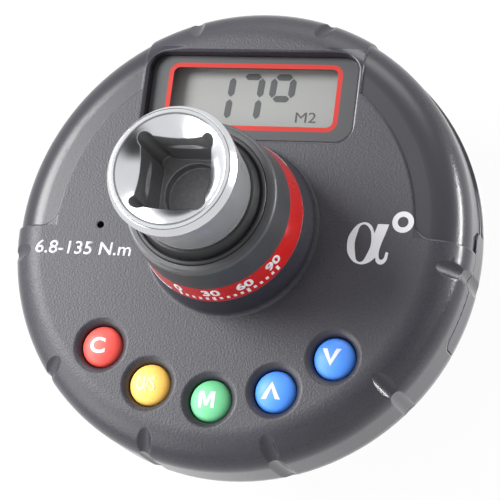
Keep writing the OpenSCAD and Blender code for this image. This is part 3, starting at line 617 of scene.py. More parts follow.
def linked(name, data):
    """A new object in the scene."""
    made = bpy.data.objects.new(name, data)
    bpy.context.scene.collection.objects.link(made)
    return made


def finished(name, mesh, material, body, slot):
    """A piece of the object: its mesh in place, its finish, and the body that it rides on."""
    mesh.materials.clear()
    mesh.materials.append(material)
    piece = linked(name, mesh)
    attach(piece, body)
    return piece


@contextmanager
def edited(mesh):
    """A mesh that is open for editing and closed afterwards."""
    work = bmesh.new()
    work.from_mesh(mesh)
    yield work
    work.to_mesh(mesh)
    work.free()


def shade_smooth(mesh, angle=math.radians(32)):
    """Smooth shading with sharp edges kept."""
    mesh.shade_smooth()
    mesh.set_sharp_from_angle(angle=angle)


def outward(mesh):
    """Merges doubles and turns every face outwards."""
    with edited(mesh) as work:
        bmesh.ops.remove_doubles(work, verts=work.verts, dist=WELD)
        bmesh.ops.recalc_face_normals(work, faces=work.faces)
    return mesh


def plain_mesh(source):
    """The evaluated mesh of a curve, text or node piece, which is then removed."""
    bpy.context.view_layer.update()
    graph = bpy.context.evaluated_depsgraph_get()
    mesh = bpy.data.meshes.new_from_object(source.evaluated_get(graph), depsgraph=graph)
    data = source.data
    bpy.data.objects.remove(source)
    if data.users == 0 and isinstance(data, bpy.types.Curve):
        bpy.data.curves.remove(data)
    return mesh


def text_mesh(body, weight=0.02, shear=0.0):
    """Flat lettering in its own units."""
    curve = bpy.data.curves.new("lettering", "FONT")
    curve.body = body
    curve.align_x = "CENTER"
    curve.offset = weight
    curve.shear = shear
    curve.resolution_u = 6
    return plain_mesh(linked("lettering", curve))


def outline_mesh(outlines):
    """Flat filled shape from closed outlines: points as x, y and whether it is a corner."""
    curve = bpy.data.curves.new("outline", "CURVE")
    curve.dimensions = "2D"
    curve.fill_mode = "BOTH"
    curve.resolution_u = 8
    for points in outlines:
        spline = curve.splines.new("BEZIER")
        spline.bezier_points.add(len(points) - 1)
        spline.use_cyclic_u = True
        for point, (x, y, corner) in zip(spline.bezier_points, points):
            point.co = (x * MM, y * MM, 0)
            point.handle_left_type = point.handle_right_type = "VECTOR" if corner else "AUTO"
    return plain_mesh(linked("outline", curve))


def fit_to(mesh, low, width, height):
    """Scales a flat mesh to a box and sets its lower left corner."""
    xs = [v.co.x for v in mesh.vertices]
    ys = [v.co.y for v in mesh.vertices]
    scale = Matrix.Diagonal((width / (max(xs) - min(xs)), height / (max(ys) - min(ys)), 1, 1))
    mesh.transform(scale @ Matrix.Translation((-min(xs), -min(ys), 0)))
    mesh.transform(Matrix.Translation(low))
    return mesh


def polygon_mesh(polygons):
    """Flat mesh of polygons given by their corners, in metres."""
    mesh = bpy.data.meshes.new("polygons")
    with edited(mesh) as work:
        for corners in polygons:
            work.faces.new([work.verts.new((*c, 0)) for c in corners])
    return mesh


def diced(mesh, pitch):
    """Cuts a flat mesh along a grid, so that it can follow a curved surface."""
    with edited(mesh) as work:
        for axis in (0, 1):
            low = min(v.co[axis] for v in work.verts)
            high = max(v.co[axis] for v in work.verts)
            normal = Vector((axis == 0, axis == 1, 0))
            for i in range(1, int((high - low) / pitch) + 1):
                parts = work.verts[:] + work.edges[:] + work.faces[:]
                spot = normal * (low + i * pitch)
                bmesh.ops.bisect_plane(work, geom=parts, plane_co=spot, plane_no=normal)
    return mesh


def film(mesh, top, thickness):
    """Turns a flat mesh into a thin closed solid whose upper side lies on top(x, y)."""
    with edited(outward(mesh)) as work:
        if sum(f.normal.z for f in work.faces) < 0:
            bmesh.ops.reverse_faces(work, faces=work.faces)
        for vertex in work.verts:
            vertex.co.z = top(vertex.co.x, vertex.co.y)
        under = bmesh.ops.extrude_face_region(work, geom=work.faces[:])["geom"]
        for vertex in (v for v in under if isinstance(v, bmesh.types.BMVert)):
            vertex.co.z -= thickness
        bmesh.ops.recalc_face_normals(work, faces=work.faces)
    return mesh


def printed(name, mesh, top, depth, material, slot):
    """A flat print on the housing, with its upper side at one height."""
    film(mesh, lambda x, y: top, depth)
    finished(name, mesh, material, "housing", slot)


def round_rect(width, height, radius, steps=10):
    """Corner points of a rectangle with round corners, anticlockwise."""
    points = []
    for quarter in range(4):
        cx = (width / 2 - radius) * (1 if quarter in (0, 3) else -1)
        cy = (height / 2 - radius) * (1 if quarter in (0, 1) else -1)
        for i in range(steps + 1):
            a = math.radians(90 * (quarter + i / steps))
            points.append((cx + radius * math.cos(a), cy + radius * math.sin(a)))
    return points


def ring_mesh(outer, inner, centre):
    """Flat ring between two outlines with as many points."""
    count = len(outer)
    quads = [[outer[i], outer[(i + 1) % count], inner[(i + 1) % count], inner[i]] for i in range(count)]
    return polygon_mesh([[(x + centre[0], y + centre[1]) for x, y in quad] for quad in quads])


# Geometry node trees

class Shape(Graph):
    """A geometry node tree with named inputs."""

    def __init__(self, name, inputs):
        tree = bpy.data.node_groups.new(name, "GeometryNodeTree")
        super().__init__(tree)
        self.keys = {}
        for title, kind in inputs.items():
            made = tree.interface.new_socket(title, in_out="INPUT", socket_type=kind)
            self.keys[title] = made.identifier
        tree.interface.new_socket("Geometry", in_out="OUTPUT", socket_type="NodeSocketGeometry")
        first = self.node("NodeGroupInput")
        self.inputs = {s.name: Sock(self, s) for s in first.socket.node.outputs if s.name}

    def close(self, geometry):
        """Ends the tree: real geometry with its material."""
        real = self.node("GeometryNodeRealizeInstances", [geometry])
        done = self.node("GeometryNodeSetMaterial", {0: real, "Material": self.inputs["Material"]})
        self.node("NodeGroupOutput", [done])

    def mesh(self, values):
        """The plain mesh that the tree makes from these values."""
        holder = linked("holder", bpy.data.meshes.new("holder"))
        modifier = holder.modifiers.new("shape", "NODES")
        modifier.node_group = self.tree
        for title, value in values.items():
            modifier[self.keys[title]] = value
        return plain_mesh(holder)


LENGTH = "NodeSocketFloat"
# Grid of a cap, along its outline and round it, and where its top and its side end along the outline
CAP_GRID = (61, 97)
CAP_TOP_END = 0.6
CAP_SIDE_END = 0.9
STEM_SIDES = 64
# Marks on the band: every so many is longer by this share
LONG_EVERY = 5.0
LONG_EXTRA = 0.7
# Points along one turn of the spring and round its wire
COIL_STEPS = 40
WIRE_STEPS = 12


def cap_tree():
    """A turned key: rounded top, straight side, flange and stem."""
    names = ("Radius", "Dome", "Roundness", "Side", "Flange", "Flange depth", "Stem", "Stem length")
    tree = Shape("key_cap", {**{n: LENGTH for n in names}, "Material": "NodeSocketMaterial"})
    get = tree.inputs
    grid = tree.node("GeometryNodeMeshGrid", [1.0, 1.0, *CAP_GRID])
    x, y, _ = tree.parts(tree.node("GeometryNodeInputPosition"))
    along = x + 0.5
    angle = (along / CAP_TOP_END).call("MINIMUM", 1.0) * (math.pi / 2)
    drop = ((along - CAP_TOP_END) / (CAP_SIDE_END - CAP_TOP_END)).call("MAXIMUM", 0.0).call("MINIMUM", 1.0)
    closing = 1.0 - ((along - CAP_SIDE_END) / (1 - CAP_SIDE_END)).call("MAXIMUM", 0.0)
    power = 2.0 / get["Roundness"]
    radius = get["Radius"] * (angle.call("SINE").call("MAXIMUM", 0.0) ** power) * closing
    height = get["Dome"] * (angle.call("COSINE").call("MAXIMUM", 0.0) ** power) - drop * get["Side"]
    turn = (y + 0.5) * (2 * math.pi)
    point = tree.node(
        "ShaderNodeCombineXYZ", [radius * turn.call("COSINE"), radius * turn.call("SINE"), height])
    cap = tree.node("GeometryNodeSetPosition", {"Geometry": grid, "Position": point})
    cap = tree.node("GeometryNodeMergeByDistance", {"Geometry": cap, "Distance": 1e-6})
    solids = [cap]
    low = 0.0 - get["Side"]
    for size, depth in (("Flange", "Flange depth"), ("Stem", "Stem length")):
        solid = tree.node(
            "GeometryNodeMeshCylinder", {"Vertices": STEM_SIDES, "Radius": get[size], "Depth": get[depth]})
        shift = tree.node("ShaderNodeCombineXYZ", {"Z": low - get[depth] / 2.0})
        solids.append(tree.node("GeometryNodeTransform", {"Geometry": solid, "Translation": shift}))
        low = low - get[depth]
    tree.close(tree.node("GeometryNodeJoinGeometry", [solids]))
    return tree


def tick_tree():
    """A row of marks round a cone, some of them longer."""
    names = ("First", "Step", "Radius", "Height", "Tilt", "Width", "Length", "Depth")
    tree = Shape("band_ticks", {
        "Count": "NodeSocketInt", **{n: LENGTH for n in names}, "Material": "NodeSocketMaterial"})
    get = tree.inputs
    row = tree.node("GeometryNodeMeshLine", {"Count": get["Count"]})
    index = tree.node("GeometryNodeInputIndex")
    angle = get["First"] + index * get["Step"]
    point = tree.node(
        "ShaderNodeCombineXYZ",
        [get["Radius"] * angle.call("SINE"), get["Radius"] * angle.call("COSINE"), get["Height"]])
    row = tree.node("GeometryNodeSetPosition", {"Geometry": row, "Position": point})
    size = tree.node("ShaderNodeCombineXYZ", [get["Width"], get["Depth"], get["Length"]])
    mark = tree.node("GeometryNodeMeshCube", {"Size": size})
    turn = tree.node("ShaderNodeCombineXYZ", {"X": get["Tilt"], "Z": 0.0 - angle})
    long = index.call("MODULO", LONG_EVERY).call("LESS_THAN", 0.5)
    scale = tree.node("ShaderNodeCombineXYZ", {"X": 1.0, "Y": 1.0, "Z": 1.0 + long * LONG_EXTRA})
    marks = tree.node(
        "GeometryNodeInstanceOnPoints",
        {"Points": row, "Instance": mark, "Rotation": turn, "Scale": scale})
    tree.close(marks)
    return tree


def coil_tree():
    """A coil spring of round wire along its own Z."""
    names = ("Turns", "Radius", "Length", "Wire")
    tree = Shape("coil_spring", {**{n: LENGTH for n in names}, "Material": "NodeSocketMaterial"})
    get = tree.inputs
    path = tree.node("GeometryNodeCurveSpiral", {
        "Resolution": COIL_STEPS,
        "Rotations": get["Turns"],
        "Start Radius": get["Radius"],
        "End Radius": get["Radius"],
        "Height": get["Length"],
    })
    wire = tree.node(
        "GeometryNodeCurvePrimitiveCircle", {"Resolution": WIRE_STEPS, "Radius": get["Wire"] / 2.0})
    coil = tree.node("GeometryNodeCurveToMesh", {"Curve": path, "Profile Curve": wire, "Fill Caps": True})
    tree.close(coil)
    return tree


# Operators

class GAUGE_OT_housing(bpy.types.Operator):
    """Finishes the two covers, their gasket and the battery drawer."""

    bl_idname = "gauge.housing"
    bl_label = "Housing"

    def execute(self, context):
        looks = context.scene.gauge_finishes
        plastic = grained_plastic("housing_plastic", looks.housing, zones=cover_zones)
        dress(plastic, "front_cover", "rear_cover", "battery_drawer")
        dress(rubber("black_rubber", looks.rubber), "shaft_seal", "rear_oring", "housing_gasket")
        return {"FINISHED"}


class GAUGE_OT_drive(bpy.types.Operator):
    """Finishes the drive shaft, its collar and its detent, and marks the band."""

    bl_idname = "gauge.drive"
    bl_label = "Drive and collar"

    # Clockwise from the display, in degrees
    TICKS = (126, 200)
    TICK_RISE = 0.95 * MM
    NUMBERS = ("0", "30", "60", "90")
    NUMBER_RISE = 1.75 * MM
    # Width of one figure in number heights, and its boldness
    NUMBER_WIDTH = 0.72
    NUMBER_WEIGHT = 0.03
    NUMBER_DICE = 0.3 * MM
    STRIPES = ((22, 47), (209, 236))
    STRIPE_RISE = 0.12 * MM
    STRIPE_WIDTH = 0.22 * MM
    STRIPE_STEPS = 24
    SPRING_TURNS = 4
    SPRING_WIRE = 0.4 * MM

    def execute(self, context):
        looks = context.scene.gauge_finishes
        marks = context.scene.gauge_prints
        dress(plated_drive("polished_chrome", looks.chrome), "torsion_shaft")
        dress(satin_plastic("collar_plastic", looks.collar, 0.36), "drive_collar")
        dress(lacquer("red_trim", looks.band), "red_band")
        steel = metal("spring_steel", (0.33, 0.34, 0.36), 0.32)
        dress(steel, "retaining_ring")
        self.spring(steel)
        dress(metal("bearing_steel", (0.66, 0.67, 0.69), 0.12), "detent_ball")
        white = ink("band_ink", looks.print, 0.4)
        self.ticks(marks, white)
        self.numbers(marks, white)
        self.stripes(marks, white)
        return {"FINISHED"}

    def spring(self, steel):
        """Coil spring behind the detent ball."""
        low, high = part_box("detent_spring")
        reach = high - low
        joints = frame["record"]["behaviour"]["joints"]
        travel = max(j["range_m"][1] for j in joints if j["name"] == "ball_press")
        mesh = coil_tree().mesh({
            "Turns": self.SPRING_TURNS,
            "Radius": (reach.y - self.SPRING_WIRE) / 2,
            "Length": reach.x - self.SPRING_WIRE,
            "Wire": self.SPRING_WIRE,
            "Material": steel,
        })
        spot = middle("detent_spring")
        base = Matrix.Translation((low.x + self.SPRING_WIRE / 2, spot.y, spot.z))
        mesh.transform(base @ Matrix.Rotation(math.pi / 2, 4, "Y"))
        shade_smooth(outward(mesh))
        piece = finished("detent_coil", mesh, steel, "housing", "spring_steel")
        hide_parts("detent_spring")
        1 - travel / reach.x
        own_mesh(piece)

    def ticks(self, marks, white):
        """A row of plain marks on the band."""
        first, last = (math.radians(a) for a in self.TICKS)
        height = BAND_LOW.z + self.TICK_RISE
        flare = BAND_HIGH.x - BAND_TOP_RADIUS
        depth = 4 * marks.film
        mesh = tick_tree().mesh({
            "Count": marks.tick_count,
            "First": first,
            "Step": (last - first) / (marks.tick_count - 1),
            "Radius": band_radius(height) + marks.film - depth / 2,
            "Height": height,
            "Tilt": math.atan2(flare, BAND_HIGH.z - BAND_LOW.z),
            "Width": marks.tick_width,
            "Length": marks.tick_height,
            "Depth": depth,
            "Material": white,
        })
        finished("band_ticks", outward(mesh), white, "housing", "red_trim")

    def numbers(self, marks, white):
        """Plain numbers over the long marks."""
        last, first = (math.radians(a) for a in self.TICKS)
        step = (last - first) / (len(self.NUMBERS) - 1)
        base_z = BAND_LOW.z + self.NUMBER_RISE
        radius = band_radius(base_z)
        for i, number in enumerate(self.NUMBERS):
            wide = self.NUMBER_WIDTH * marks.number_height * len(number)
            flat = text_mesh(number, self.NUMBER_WEIGHT)
            mesh = fit_to(flat, (-wide / 2, 0, 0), wide, marks.number_height)
            film(diced(mesh, self.NUMBER_DICE), lambda x, y: marks.film, 3 * marks.film)
            for vertex in mesh.vertices:
                z = base_z + vertex.co.y
                angle = first + step * i - vertex.co.x / radius
                out = band_radius(z) + vertex.co.z
                vertex.co = (out * math.sin(angle), out * math.cos(angle), z)
            finished("band_number_" + number, outward(mesh), white, "housing", "red_trim")

    def stripes(self, marks, white):
        """Two thin lines along the lower edge of the band."""
        low = BAND_LOW.z + self.STRIPE_RISE
        mesh = bpy.data.meshes.new("band_stripes")
        with edited(mesh) as work:
            for first, last in self.STRIPES:
                rings = []
                for i in range(self.STRIPE_STEPS + 1):
                    a = math.radians(first + (last - first) * i / self.STRIPE_STEPS)
                    ring = []
                    for rise, out in ((0, -1), (0, 1), (1, 1), (1, -1)):
                        z = low + rise * self.STRIPE_WIDTH
                        r = band_radius(z) + out * marks.film
                        ring.append(work.verts.new((r * math.sin(a), r * math.cos(a), z)))
                    rings.append(ring)
                for one, two in zip(rings, rings[1:]):
                    for k in range(4):
                        work.faces.new((one[k], one[(k + 1) % 4], two[(k + 1) % 4], two[k]))
                work.faces.new(rings[0])
                work.faces.new(rings[-1])
        finished("band_stripes", outward(mesh), white, "housing", "red_trim")


class GAUGE_OT_keys(bpy.types.Operator):
    """Makes the five keys with their legends, and finishes the switches under them."""

    bl_idname = "gauge.keys"
    bl_label = "Keys"

    LEGENDS = {"clear": "C", "unit": "U/S"}
    LEGEND_WEIGHT = 0.03
    # Width and height of a sign, in legend heights
    LEGEND_SIZES = {"clear": (0.92, 0.95), "unit": (1.15, 0.86), "memory": (0.95, 0.95)}
    # Bold sign of the memory key, all corners
    MEMORY = [(x, y, True) for x, y in (
        (-4.5, -5), (-4.5, 5), (-1.9, 5), (0, -0.5), (1.9, 5), (4.5, 5), (4.5, -5), (2.6, -5), (2.6, 1.8),
        (0.8, -3.8), (-0.8, -3.8), (-2.6, 1.8), (-2.6, -5))]
    SLOTS = {"clear": "red_button", "unit": "yellow_button", "memory": "green_button",
             "up": "blue_button", "down": "blue_button"}
    CHEVRONS = {"up": 1, "down": -1}
    # Half width, half height and stroke of a chevron in legend heights, and its depth at the tip in strokes
    CHEVRON_SIZE = (0.56, 0.5, 0.29)
    CHEVRON_TIP = 1.25
    # Legends lie a little left of the middle of their caps, in millimetres
    SHIFT = {"clear": -0.35, "unit": -0.25, "memory": -0.25, "up": -0.3, "down": -0.25}
    DICE = 0.2 * MM

    def execute(self, context):
        keys = context.scene.gauge_keys
        white = ink("key_ink", context.scene.gauge_finishes.print)
        pale = ink("unit_ink", keys.unit_print)
        tree = cap_tree()
        for key in KEYS:
            node = "button_" + key
            low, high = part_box(node)
            spot = middle(node)
            base_z = high.z - keys.dome
            stem_end = base_z - keys.side - keys.flange_depth
            material = key_plastic(self.SLOTS[key] + "_" + key, getattr(keys, key))
            mesh = tree.mesh({
                "Radius": keys.radius,
                "Dome": keys.dome,
                "Roundness": keys.roundness,
                "Side": keys.side,
                "Flange": keys.flange,
                "Flange depth": keys.flange_depth,
                "Stem": keys.stem,
                "Stem length": stem_end - low.z,
                "Material": material,
            })
            mesh.transform(Matrix.Translation((spot.x, spot.y, base_z)))
            shade_smooth(outward(mesh))
            body = key + "_key"
            cap = finished("cap_" + key, mesh, material, body, self.SLOTS[key])
            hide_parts(node)
            legend = self.legend(key, keys, Vector((spot.x, spot.y, base_z)))
            finished("legend_" + key, legend, pale if key == "unit" else white, body, self.SLOTS[key])
        dress(metal("switch_metal", (0.60, 0.61, 0.63), 0.3), "switch_bodies")
        dress(satin_plastic("plunger_plastic", (0.03, 0.03, 0.032)), *["plunger_" + k for k in KEYS])
        return {"FINISHED"}

    def legend(self, key, keys, base):
        """A printed sign that follows the rounded top of its cap."""
        tall = keys.legend_height
        if key in self.CHEVRONS:
            mesh = self.chevron(self.CHEVRONS[key], tall)
        else:
            wide, high = (share * tall for share in self.LEGEND_SIZES[key])
            if key == "memory":
                flat = outline_mesh([self.MEMORY])
            else:
                flat = text_mesh(self.LEGENDS[key], self.LEGEND_WEIGHT)
            mesh = fit_to(flat, (-wide / 2, -high / 2, 0), wide, high)
        mesh.transform(Matrix.Translation((self.SHIFT[key] * MM, 0, 0)))
        diced(mesh, self.DICE)

        def top(x, y):
            share = min(1.0, math.hypot(x, y) / keys.radius)
            rise = (1 - share ** keys.roundness) ** (1 / keys.roundness)
            return keys.dome * rise + keys.legend_lift

        film(mesh, top, 3 * keys.legend_lift)
        mesh.transform(Matrix.Translation(base))
        return mesh

    def chevron(self, way, tall):
        """An arrow head of two straight strokes."""
        half, rise, thick = (share * tall for share in self.CHEVRON_SIZE)
        left = [(-half, -rise * way), (0, rise * way), (0, (rise - self.CHEVRON_TIP * thick) * way),
                (-half + thick, -rise * way)]
        right = [(-x, y) for x, y in reversed(left)]
        return polygon_mesh([left, right])


class GAUGE_OT_display(bpy.types.Operator):
    """Finishes the display: printed lens, frame line and lit segments."""

    bl_idname = "gauge.display"
    bl_label = "Display"

    # Middle of each digit in millimetres from the middle of the display, and its lit segments
    DIGITS = ((-5.4, "bc"), (-1.1, "abc"), (3.5, "abfg"))
    DIGIT_Y = 0.8
    # Ends of each segment, in digit widths across and half heights up
    SEGMENTS = {
        "a": ((-0.5, 1), (0.5, 1)),
        "b": ((0.5, 1), (0.5, 0)),
        "c": ((0.5, 0), (0.5, -1)),
        "f": ((-0.5, 1), (-0.5, 0)),
        "g": ((-0.5, 0), (0.5, 0)),
    }
    GAP = 0.16 * MM
    MARK_PLACE = (7.45, -1.85)
    MARK_SIZE = (3.0, 1.5)
    RISE = 0.03 * MM
    WINDOW_RISE = 0.3 * MM
    LENS_ROUND = 2.25 * MM

    def execute(self, context):
        looks = context.scene.gauge_finishes
        show = context.scene.gauge_display
        film_depth = context.scene.gauge_prints.film
        centre = ((LENS_LOW + LENS_HIGH) / 2).to_2d()
        window = centre + Vector((0, self.WINDOW_RISE))
        dress(clear_lens("lens_acrylic"), "display_lens")
        dress(crystal_glass("lcd_glass", looks.crystal), "lcd_panel")
        self.lens_print(show, looks, film_depth, centre, window)
        dark = ink("segment_ink", looks.segment, 0.55)
        digits = polygon_mesh(self.bars(show, centre))
        size = Vector(self.MARK_SIZE) * MM
        corner = centre + Vector(self.MARK_PLACE) * MM - size / 2
        mark = fit_to(text_mesh("M2", 0.0), (*corner, 0), *size)
        for name, mesh in (("display_digits", digits), ("display_mark", mark)):
            printed(name, mesh, LCD_TOP_Z + self.RISE, 1.5 * self.RISE, dark, "lcd_glass")
        return {"FINISHED"}

    def lens_print(self, show, looks, depth, centre, window_centre):
        """Dark mask on the lens, and the coloured line round the window."""
        size = LENS_HIGH - LENS_LOW
        shift = window_centre - centre
        wide = show.line_width * 2
        window, line = (
            [(x + shift.x, y + shift.y) for x, y in round_rect(*sides)] for sides in (
                (show.window_width, show.window_height, show.window_round),
                (show.window_width + wide, show.window_height + wide, show.window_round + show.line_width)))
        whole = round_rect(size.x, size.y, self.LENS_ROUND)
        for name, outer, inner, colour_of, sheen in (
                ("lens_mask", whole, line, looks.mask, 0.45),
                ("lens_line", line, window, looks.frame_line, 0.2)):
            coat = ink(name + "_ink", colour_of, 0.46, sheen)
            mesh = ring_mesh(outer, inner, centre)
            printed(name, mesh, LENS_HIGH.z + depth, 1.5 * depth, coat, "lens_acrylic")

    def bars(self, show, centre):
        """Six-sided bars of the lit segments."""
        half = show.digit_height / 2
        polygons = []
        for across, lit in self.DIGITS:
            for letter in lit:
                ends = []
                for u, v in self.SEGMENTS[letter]:
                    y = v * half
                    x = across * MM + u * show.digit_width + y * show.slant
                    ends.append(Vector((centre.x + x, centre.y + self.DIGIT_Y * MM + y)))
                polygons.append(self.bar(*ends, show.stroke / 2))
        return polygons

    def bar(self, start, end, half):
        """One bar with pointed ends, short of its corners by a gap."""
        along = (end - start).normalized()
        side = Vector((-along.y, along.x)) * half
        start = start + along * self.GAP
        end = end - along * self.GAP
        inset = along * half
        right = [start + inset - side, end - inset - side]
        left = [end - inset + side, start + inset + side]
        return [start, *right, end, *left]


class GAUGE_OT_face_prints(bpy.types.Operator):
    """Prints the measuring range and the angle sign on the face."""

    bl_idname = "gauge.face_prints"
    bl_label = "Face prints"

    # Angle sign in millimetres from the axis: outline and counter, corners marked True
    SIGN = (
        (16.75, -1.5, False), (17.15, 0.3, False), (18.6, 1.65, False), (19.7, 1.4, False),
        (20.4, 0.2, True), (20.75, 1.5, True), (22.3, 1.5, True), (21.35, -3.1, False),
        (21.75, -3.5, False), (22.3, -2.35, True), (22.65, -2.5, True), (22.35, -3.75, False),
        (21.75, -4.15, False), (21.1, -3.85, False), (20.9, -3.2, True), (20.0, -3.95, False),
        (18.75, -4.2, False), (17.4, -3.4, False))
    COUNTER = (
        (18.6, 1.35, False), (18.0, 0.1, False), (17.95, -2.4, False), (18.75, -3.9, False),
        (19.7, -2.7, False), (20.05, -0.5, False), (19.4, 1.1, False))
    RING_STEPS = 48
    # Boldness and lean of the range
    RANGE_TYPE = (0.012, 0.06)

    def execute(self, context):
        prints = context.scene.gauge_prints
        white = ink("face_ink", context.scene.gauge_finishes.print)
        text = text_mesh(prints.range_text, *self.RANGE_TYPE)
        fit_to(text, prints.range_corner, prints.range_width, prints.range_height)
        sign = outline_mesh((self.SIGN, self.COUNTER))
        turns = [2 * math.pi * i / self.RING_STEPS for i in range(self.RING_STEPS)]
        circles = [[(r * math.cos(a), r * math.sin(a)) for a in turns]
                   for r in (prints.ring_radius, prints.ring_bore)]
        ring = ring_mesh(*circles, prints.ring_place)
        for name, mesh in (("range_print", text), ("angle_sign", sign), ("degree_ring", ring)):
            printed(name, mesh, FACE_Z + prints.film, 2 * prints.film, white, "housing_plastic")
        return {"FINISHED"}


class GAUGE_OT_inner_parts(bpy.types.Operator):
    """Finishes the electronics, the cell and its contacts, and the fasteners."""

    bl_idname = "gauge.inner_parts"
    bl_label = "Inner parts"

    def execute(self, context):
        dress(satin_plastic("white_plastic", (0.70, 0.70, 0.67), 0.45), "lcd_holder")
        dress(rubber("pink_elastomer", (0.55, 0.20, 0.27)), "contact_strips")
        dress(laminate("board_laminate"), "main_board")
        dress(grained_plastic("chip_resin", (0.018, 0.018, 0.020), 0.06, 0.004, 0.55, 0.05), "board_chips")
        dress(metal("sensor_can", (0.45, 0.46, 0.48), 0.3), "gyro_sensor")
        dress(metal("sounder_brass", (0.66, 0.47, 0.17), 0.28), "sounder")
        dress(metal("cell_steel", (0.62, 0.63, 0.65), 0.22, direction=0), "coin_cell")
        plate = metal("contact_plate", (0.70, 0.55, 0.27), 0.2, direction=0)
        dress(plate, "upper_contact", "lower_contact")
        dress(metal("screw_steel", (0.50, 0.51, 0.53), 0.26), "cover_screws", "board_screws")
        dress(metal("insert_brass", (0.68, 0.48, 0.18), 0.3), "threaded_inserts")
        dress(foil("gauge_foil"), "strain_gauges", "gauge_lead")
        return {"FINISHED"}


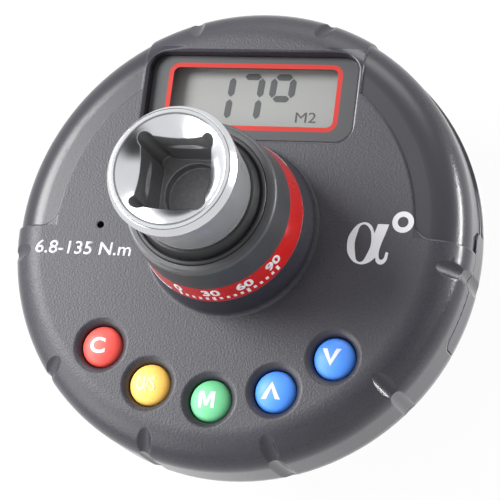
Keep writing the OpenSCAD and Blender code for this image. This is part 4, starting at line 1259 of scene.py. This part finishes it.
class GAUGE_OT_stage(bpy.types.Operator):
    """Sets the camera, the floor, the world and the lights."""

    bl_idname = "gauge.stage"
    bl_label = "Stage"

    # Name, place, aim and sides in metres, and which power it takes
    LIGHTS = (
        ("key_light", (-0.29, 0.09, 0.345), (-0.01, 0.0, 0.035), (0.24, 0.24), "key_power"),
        ("side_light", (-0.33, -0.20, 0.22), (-0.01, 0.0, 0.035), (0.30, 0.30), "side_power"),
        ("fill_light", (0.02, -0.36, 0.18), (0.0, 0.0, 0.035), (0.30, 0.30), "fill_power"),
        ("back_light", (0.02, 0.40, 0.24), (0.0, 0.0, 0.035), (0.40, 0.20), "back_power"),
        ("rim_light", (0.27, 0.09, 0.018), (0.0, 0.0, 0.035), (0.20, 0.03), "rim_power"),
    )
    # Soft cards that only mirror images show: name, middle, aim and half side in metres, and strength
    CARDS = (
        ("dark_card", (0.405, -0.20, 0.645), (0, 0, 0.05), 0.36, 0.02),
        ("near_card", (0.085, -0.01, 0.001), (0.085, -0.01, 1), 0.085, 1.3),
        ("far_card", (0.18, 0.08, 0.0015), (0.18, 0.08, 1), 0.13, 1.8),
    )
    # Share of the half side up to which a card has its full strength
    CARD_CORE = 0.4
    FLOOR_COLOUR = (0.86, 0.86, 0.86, 1)

    def execute(self, context):
        stage = context.scene.gauge_stage
        context.scene.view_settings.view_transform = "Standard"
        self.camera(context, stage)
        self.floor(stage)
        for card in self.CARDS:
            self.card(*card)
        self.world(context, stage)
        for name, spot, aim, sides, power in self.LIGHTS:
            data = bpy.data.lights.new(name, "AREA")
            data.shape = "ELLIPSE"
            data.size, data.size_y = sides
            data.energy = getattr(stage, power)
            light = linked(name, data)
            light.location = spot
            light.visible_glossy = name != "fill_light"
            light.rotation_euler = (Vector(aim) - Vector(spot)).to_track_quat("-Z", "Y").to_euler()
        return {"FINISHED"}

    @staticmethod
    def camera(context, stage):
        """The photograph's view."""
        data = bpy.data.cameras.new("camera")
        data.sensor_width = 36
        data.lens = stage.lens
        data.clip_start = 0.01
        camera = linked("camera", data)
        eye = Vector(stage.eye)
        back = (eye - Vector(stage.aim)).normalized()
        level = Vector((0, 0, 1)).cross(back).normalized()
        turn = Matrix((level, back.cross(level), back)).transposed().to_4x4()
        camera.matrix_world = Matrix.Translation(eye) @ turn @ Matrix.Rotation(stage.roll, 4, "Z")
        context.scene.camera = camera

    @staticmethod
    def seen(graph):
        """1 for rays that show the background itself or its mirror image."""
        node = graph.tree.nodes.new("ShaderNodeLightPath")
        camera, glossy, through = (
            Sock(graph, node.outputs[n]) for n in ("Is Camera Ray", "Is Glossy Ray", "Is Transmission Ray"))
        return camera.call("MAXIMUM", glossy).call("MAXIMUM", through)

    def floor(self, stage):
        """Pale floor under the tip of the drive, white to the eye with a soft shadow."""
        half = stage.floor_size / 2
        mesh = polygon_mesh([[(-half, -half), (half, -half), (half, half), (-half, half)]])
        mesh.transform(Matrix.Translation((0, 0, CAD_BOX[0].z)))
        look = Finish("floor")
        pale = look.node("ShaderNodeBsdfDiffuse", {"Color": self.FLOOR_COLOUR})
        white = look.node("ShaderNodeEmission", {"Color": (1, 1, 1, 1), "Strength": 1.0})
        mixed = look.node("ShaderNodeMixShader", [self.seen(look) * stage.floor_white, pale, white])
        look.node("ShaderNodeOutputMaterial", {"Surface": mixed})
        mesh.materials.append(look.material)
        floor = linked("floor", mesh)

    def card(self, name, spot, aim, half, strength):
        """A card that fades out to its edges and shapes what polished parts mirror."""
        mesh = polygon_mesh([[(-half, -half), (half, -half), (half, half), (-half, half)]])
        turn = (Vector(aim) - Vector(spot)).to_track_quat("Z", "Y").to_matrix().to_4x4()
        mesh.transform(Matrix.Translation(spot) @ turn)
        look = Finish(name)
        away = look.node("ShaderNodeVectorMath", [look.coords, spot], "Value", operation="DISTANCE")
        clear = look.node("ShaderNodeBsdfTransparent")
        glow = look.node("ShaderNodeEmission", {"Color": (1, 1, 1, 1), "Strength": strength})
        fade = look.step(away, self.CARD_CORE * half, half)
        faded = look.node("ShaderNodeMixShader", [fade, glow, clear])
        look.node("ShaderNodeOutputMaterial", {"Surface": faded})
        mesh.materials.append(look.material)
        card = linked(name, mesh)
        card.visible_camera = card.visible_diffuse = card.visible_shadow = card.visible_transmission = False

    def world(self, context, stage):
        """White to the eye, soft light for the object."""
        world = bpy.data.worlds.new("studio")
        world.use_nodes = True
        look = Graph(world.node_tree)
        look.tree.nodes.clear()
        seen = self.seen(look)
        light = look.node(
            "ShaderNodeBackground",
            {"Color": (1, 1, 1, 1), "Strength": seen + (1.0 - seen) * stage.world})
        look.node("ShaderNodeOutputWorld", {"Surface": light})
        context.scene.world = world


class GAUGE_PT_panel(bpy.types.Panel):
    """Lists the steps and the settings."""

    bl_idname = "GAUGE_PT_panel"
    bl_label = "Torque and angle gauge"
    bl_space_type = "VIEW_3D"
    bl_region_type = "UI"
    bl_category = "Gauge"

    def draw(self, context):
        for step in STEPS:
            self.layout.operator(step.bl_idname)
        for name in SETTINGS:
            group = getattr(context.scene, name)
            box = self.layout.box()
            for prop in group.bl_rna.properties:
                if prop.identifier not in ("rna_type", "name"):
                    box.prop(group, prop.identifier)


SETTINGS = {
    "gauge_finishes": GaugeFinishes,
    "gauge_keys": GaugeKeys,
    "gauge_prints": GaugePrints,
    "gauge_display": GaugeDisplay,
    "gauge_stage": GaugeStage,
}
STEPS = (
    GAUGE_OT_stage,
    GAUGE_OT_housing,
    GAUGE_OT_drive,
    GAUGE_OT_keys,
    GAUGE_OT_display,
    GAUGE_OT_face_prints,
    GAUGE_OT_inner_parts,
)


def register():
    for group in SETTINGS.values():
        bpy.utils.register_class(group)
    for name, group in SETTINGS.items():
        setattr(bpy.types.Scene, name, PointerProperty(type=group))
    for item in (*STEPS, GAUGE_PT_panel):
        bpy.utils.register_class(item)


def unregister():
    for item in (GAUGE_PT_panel, *reversed(STEPS)):
        bpy.utils.unregister_class(item)
    for name, group in SETTINGS.items():
        delattr(bpy.types.Scene, name)
        bpy.utils.unregister_class(group)


def main():
    """Makes every piece."""
    register()
    bpy.ops.gauge.stage()
    bpy.ops.gauge.housing()
    bpy.ops.gauge.drive()
    bpy.ops.gauge.keys()
    bpy.ops.gauge.display()
    bpy.ops.gauge.face_prints()
    bpy.ops.gauge.inner_parts()


if __name__ == "__main__":
    main()
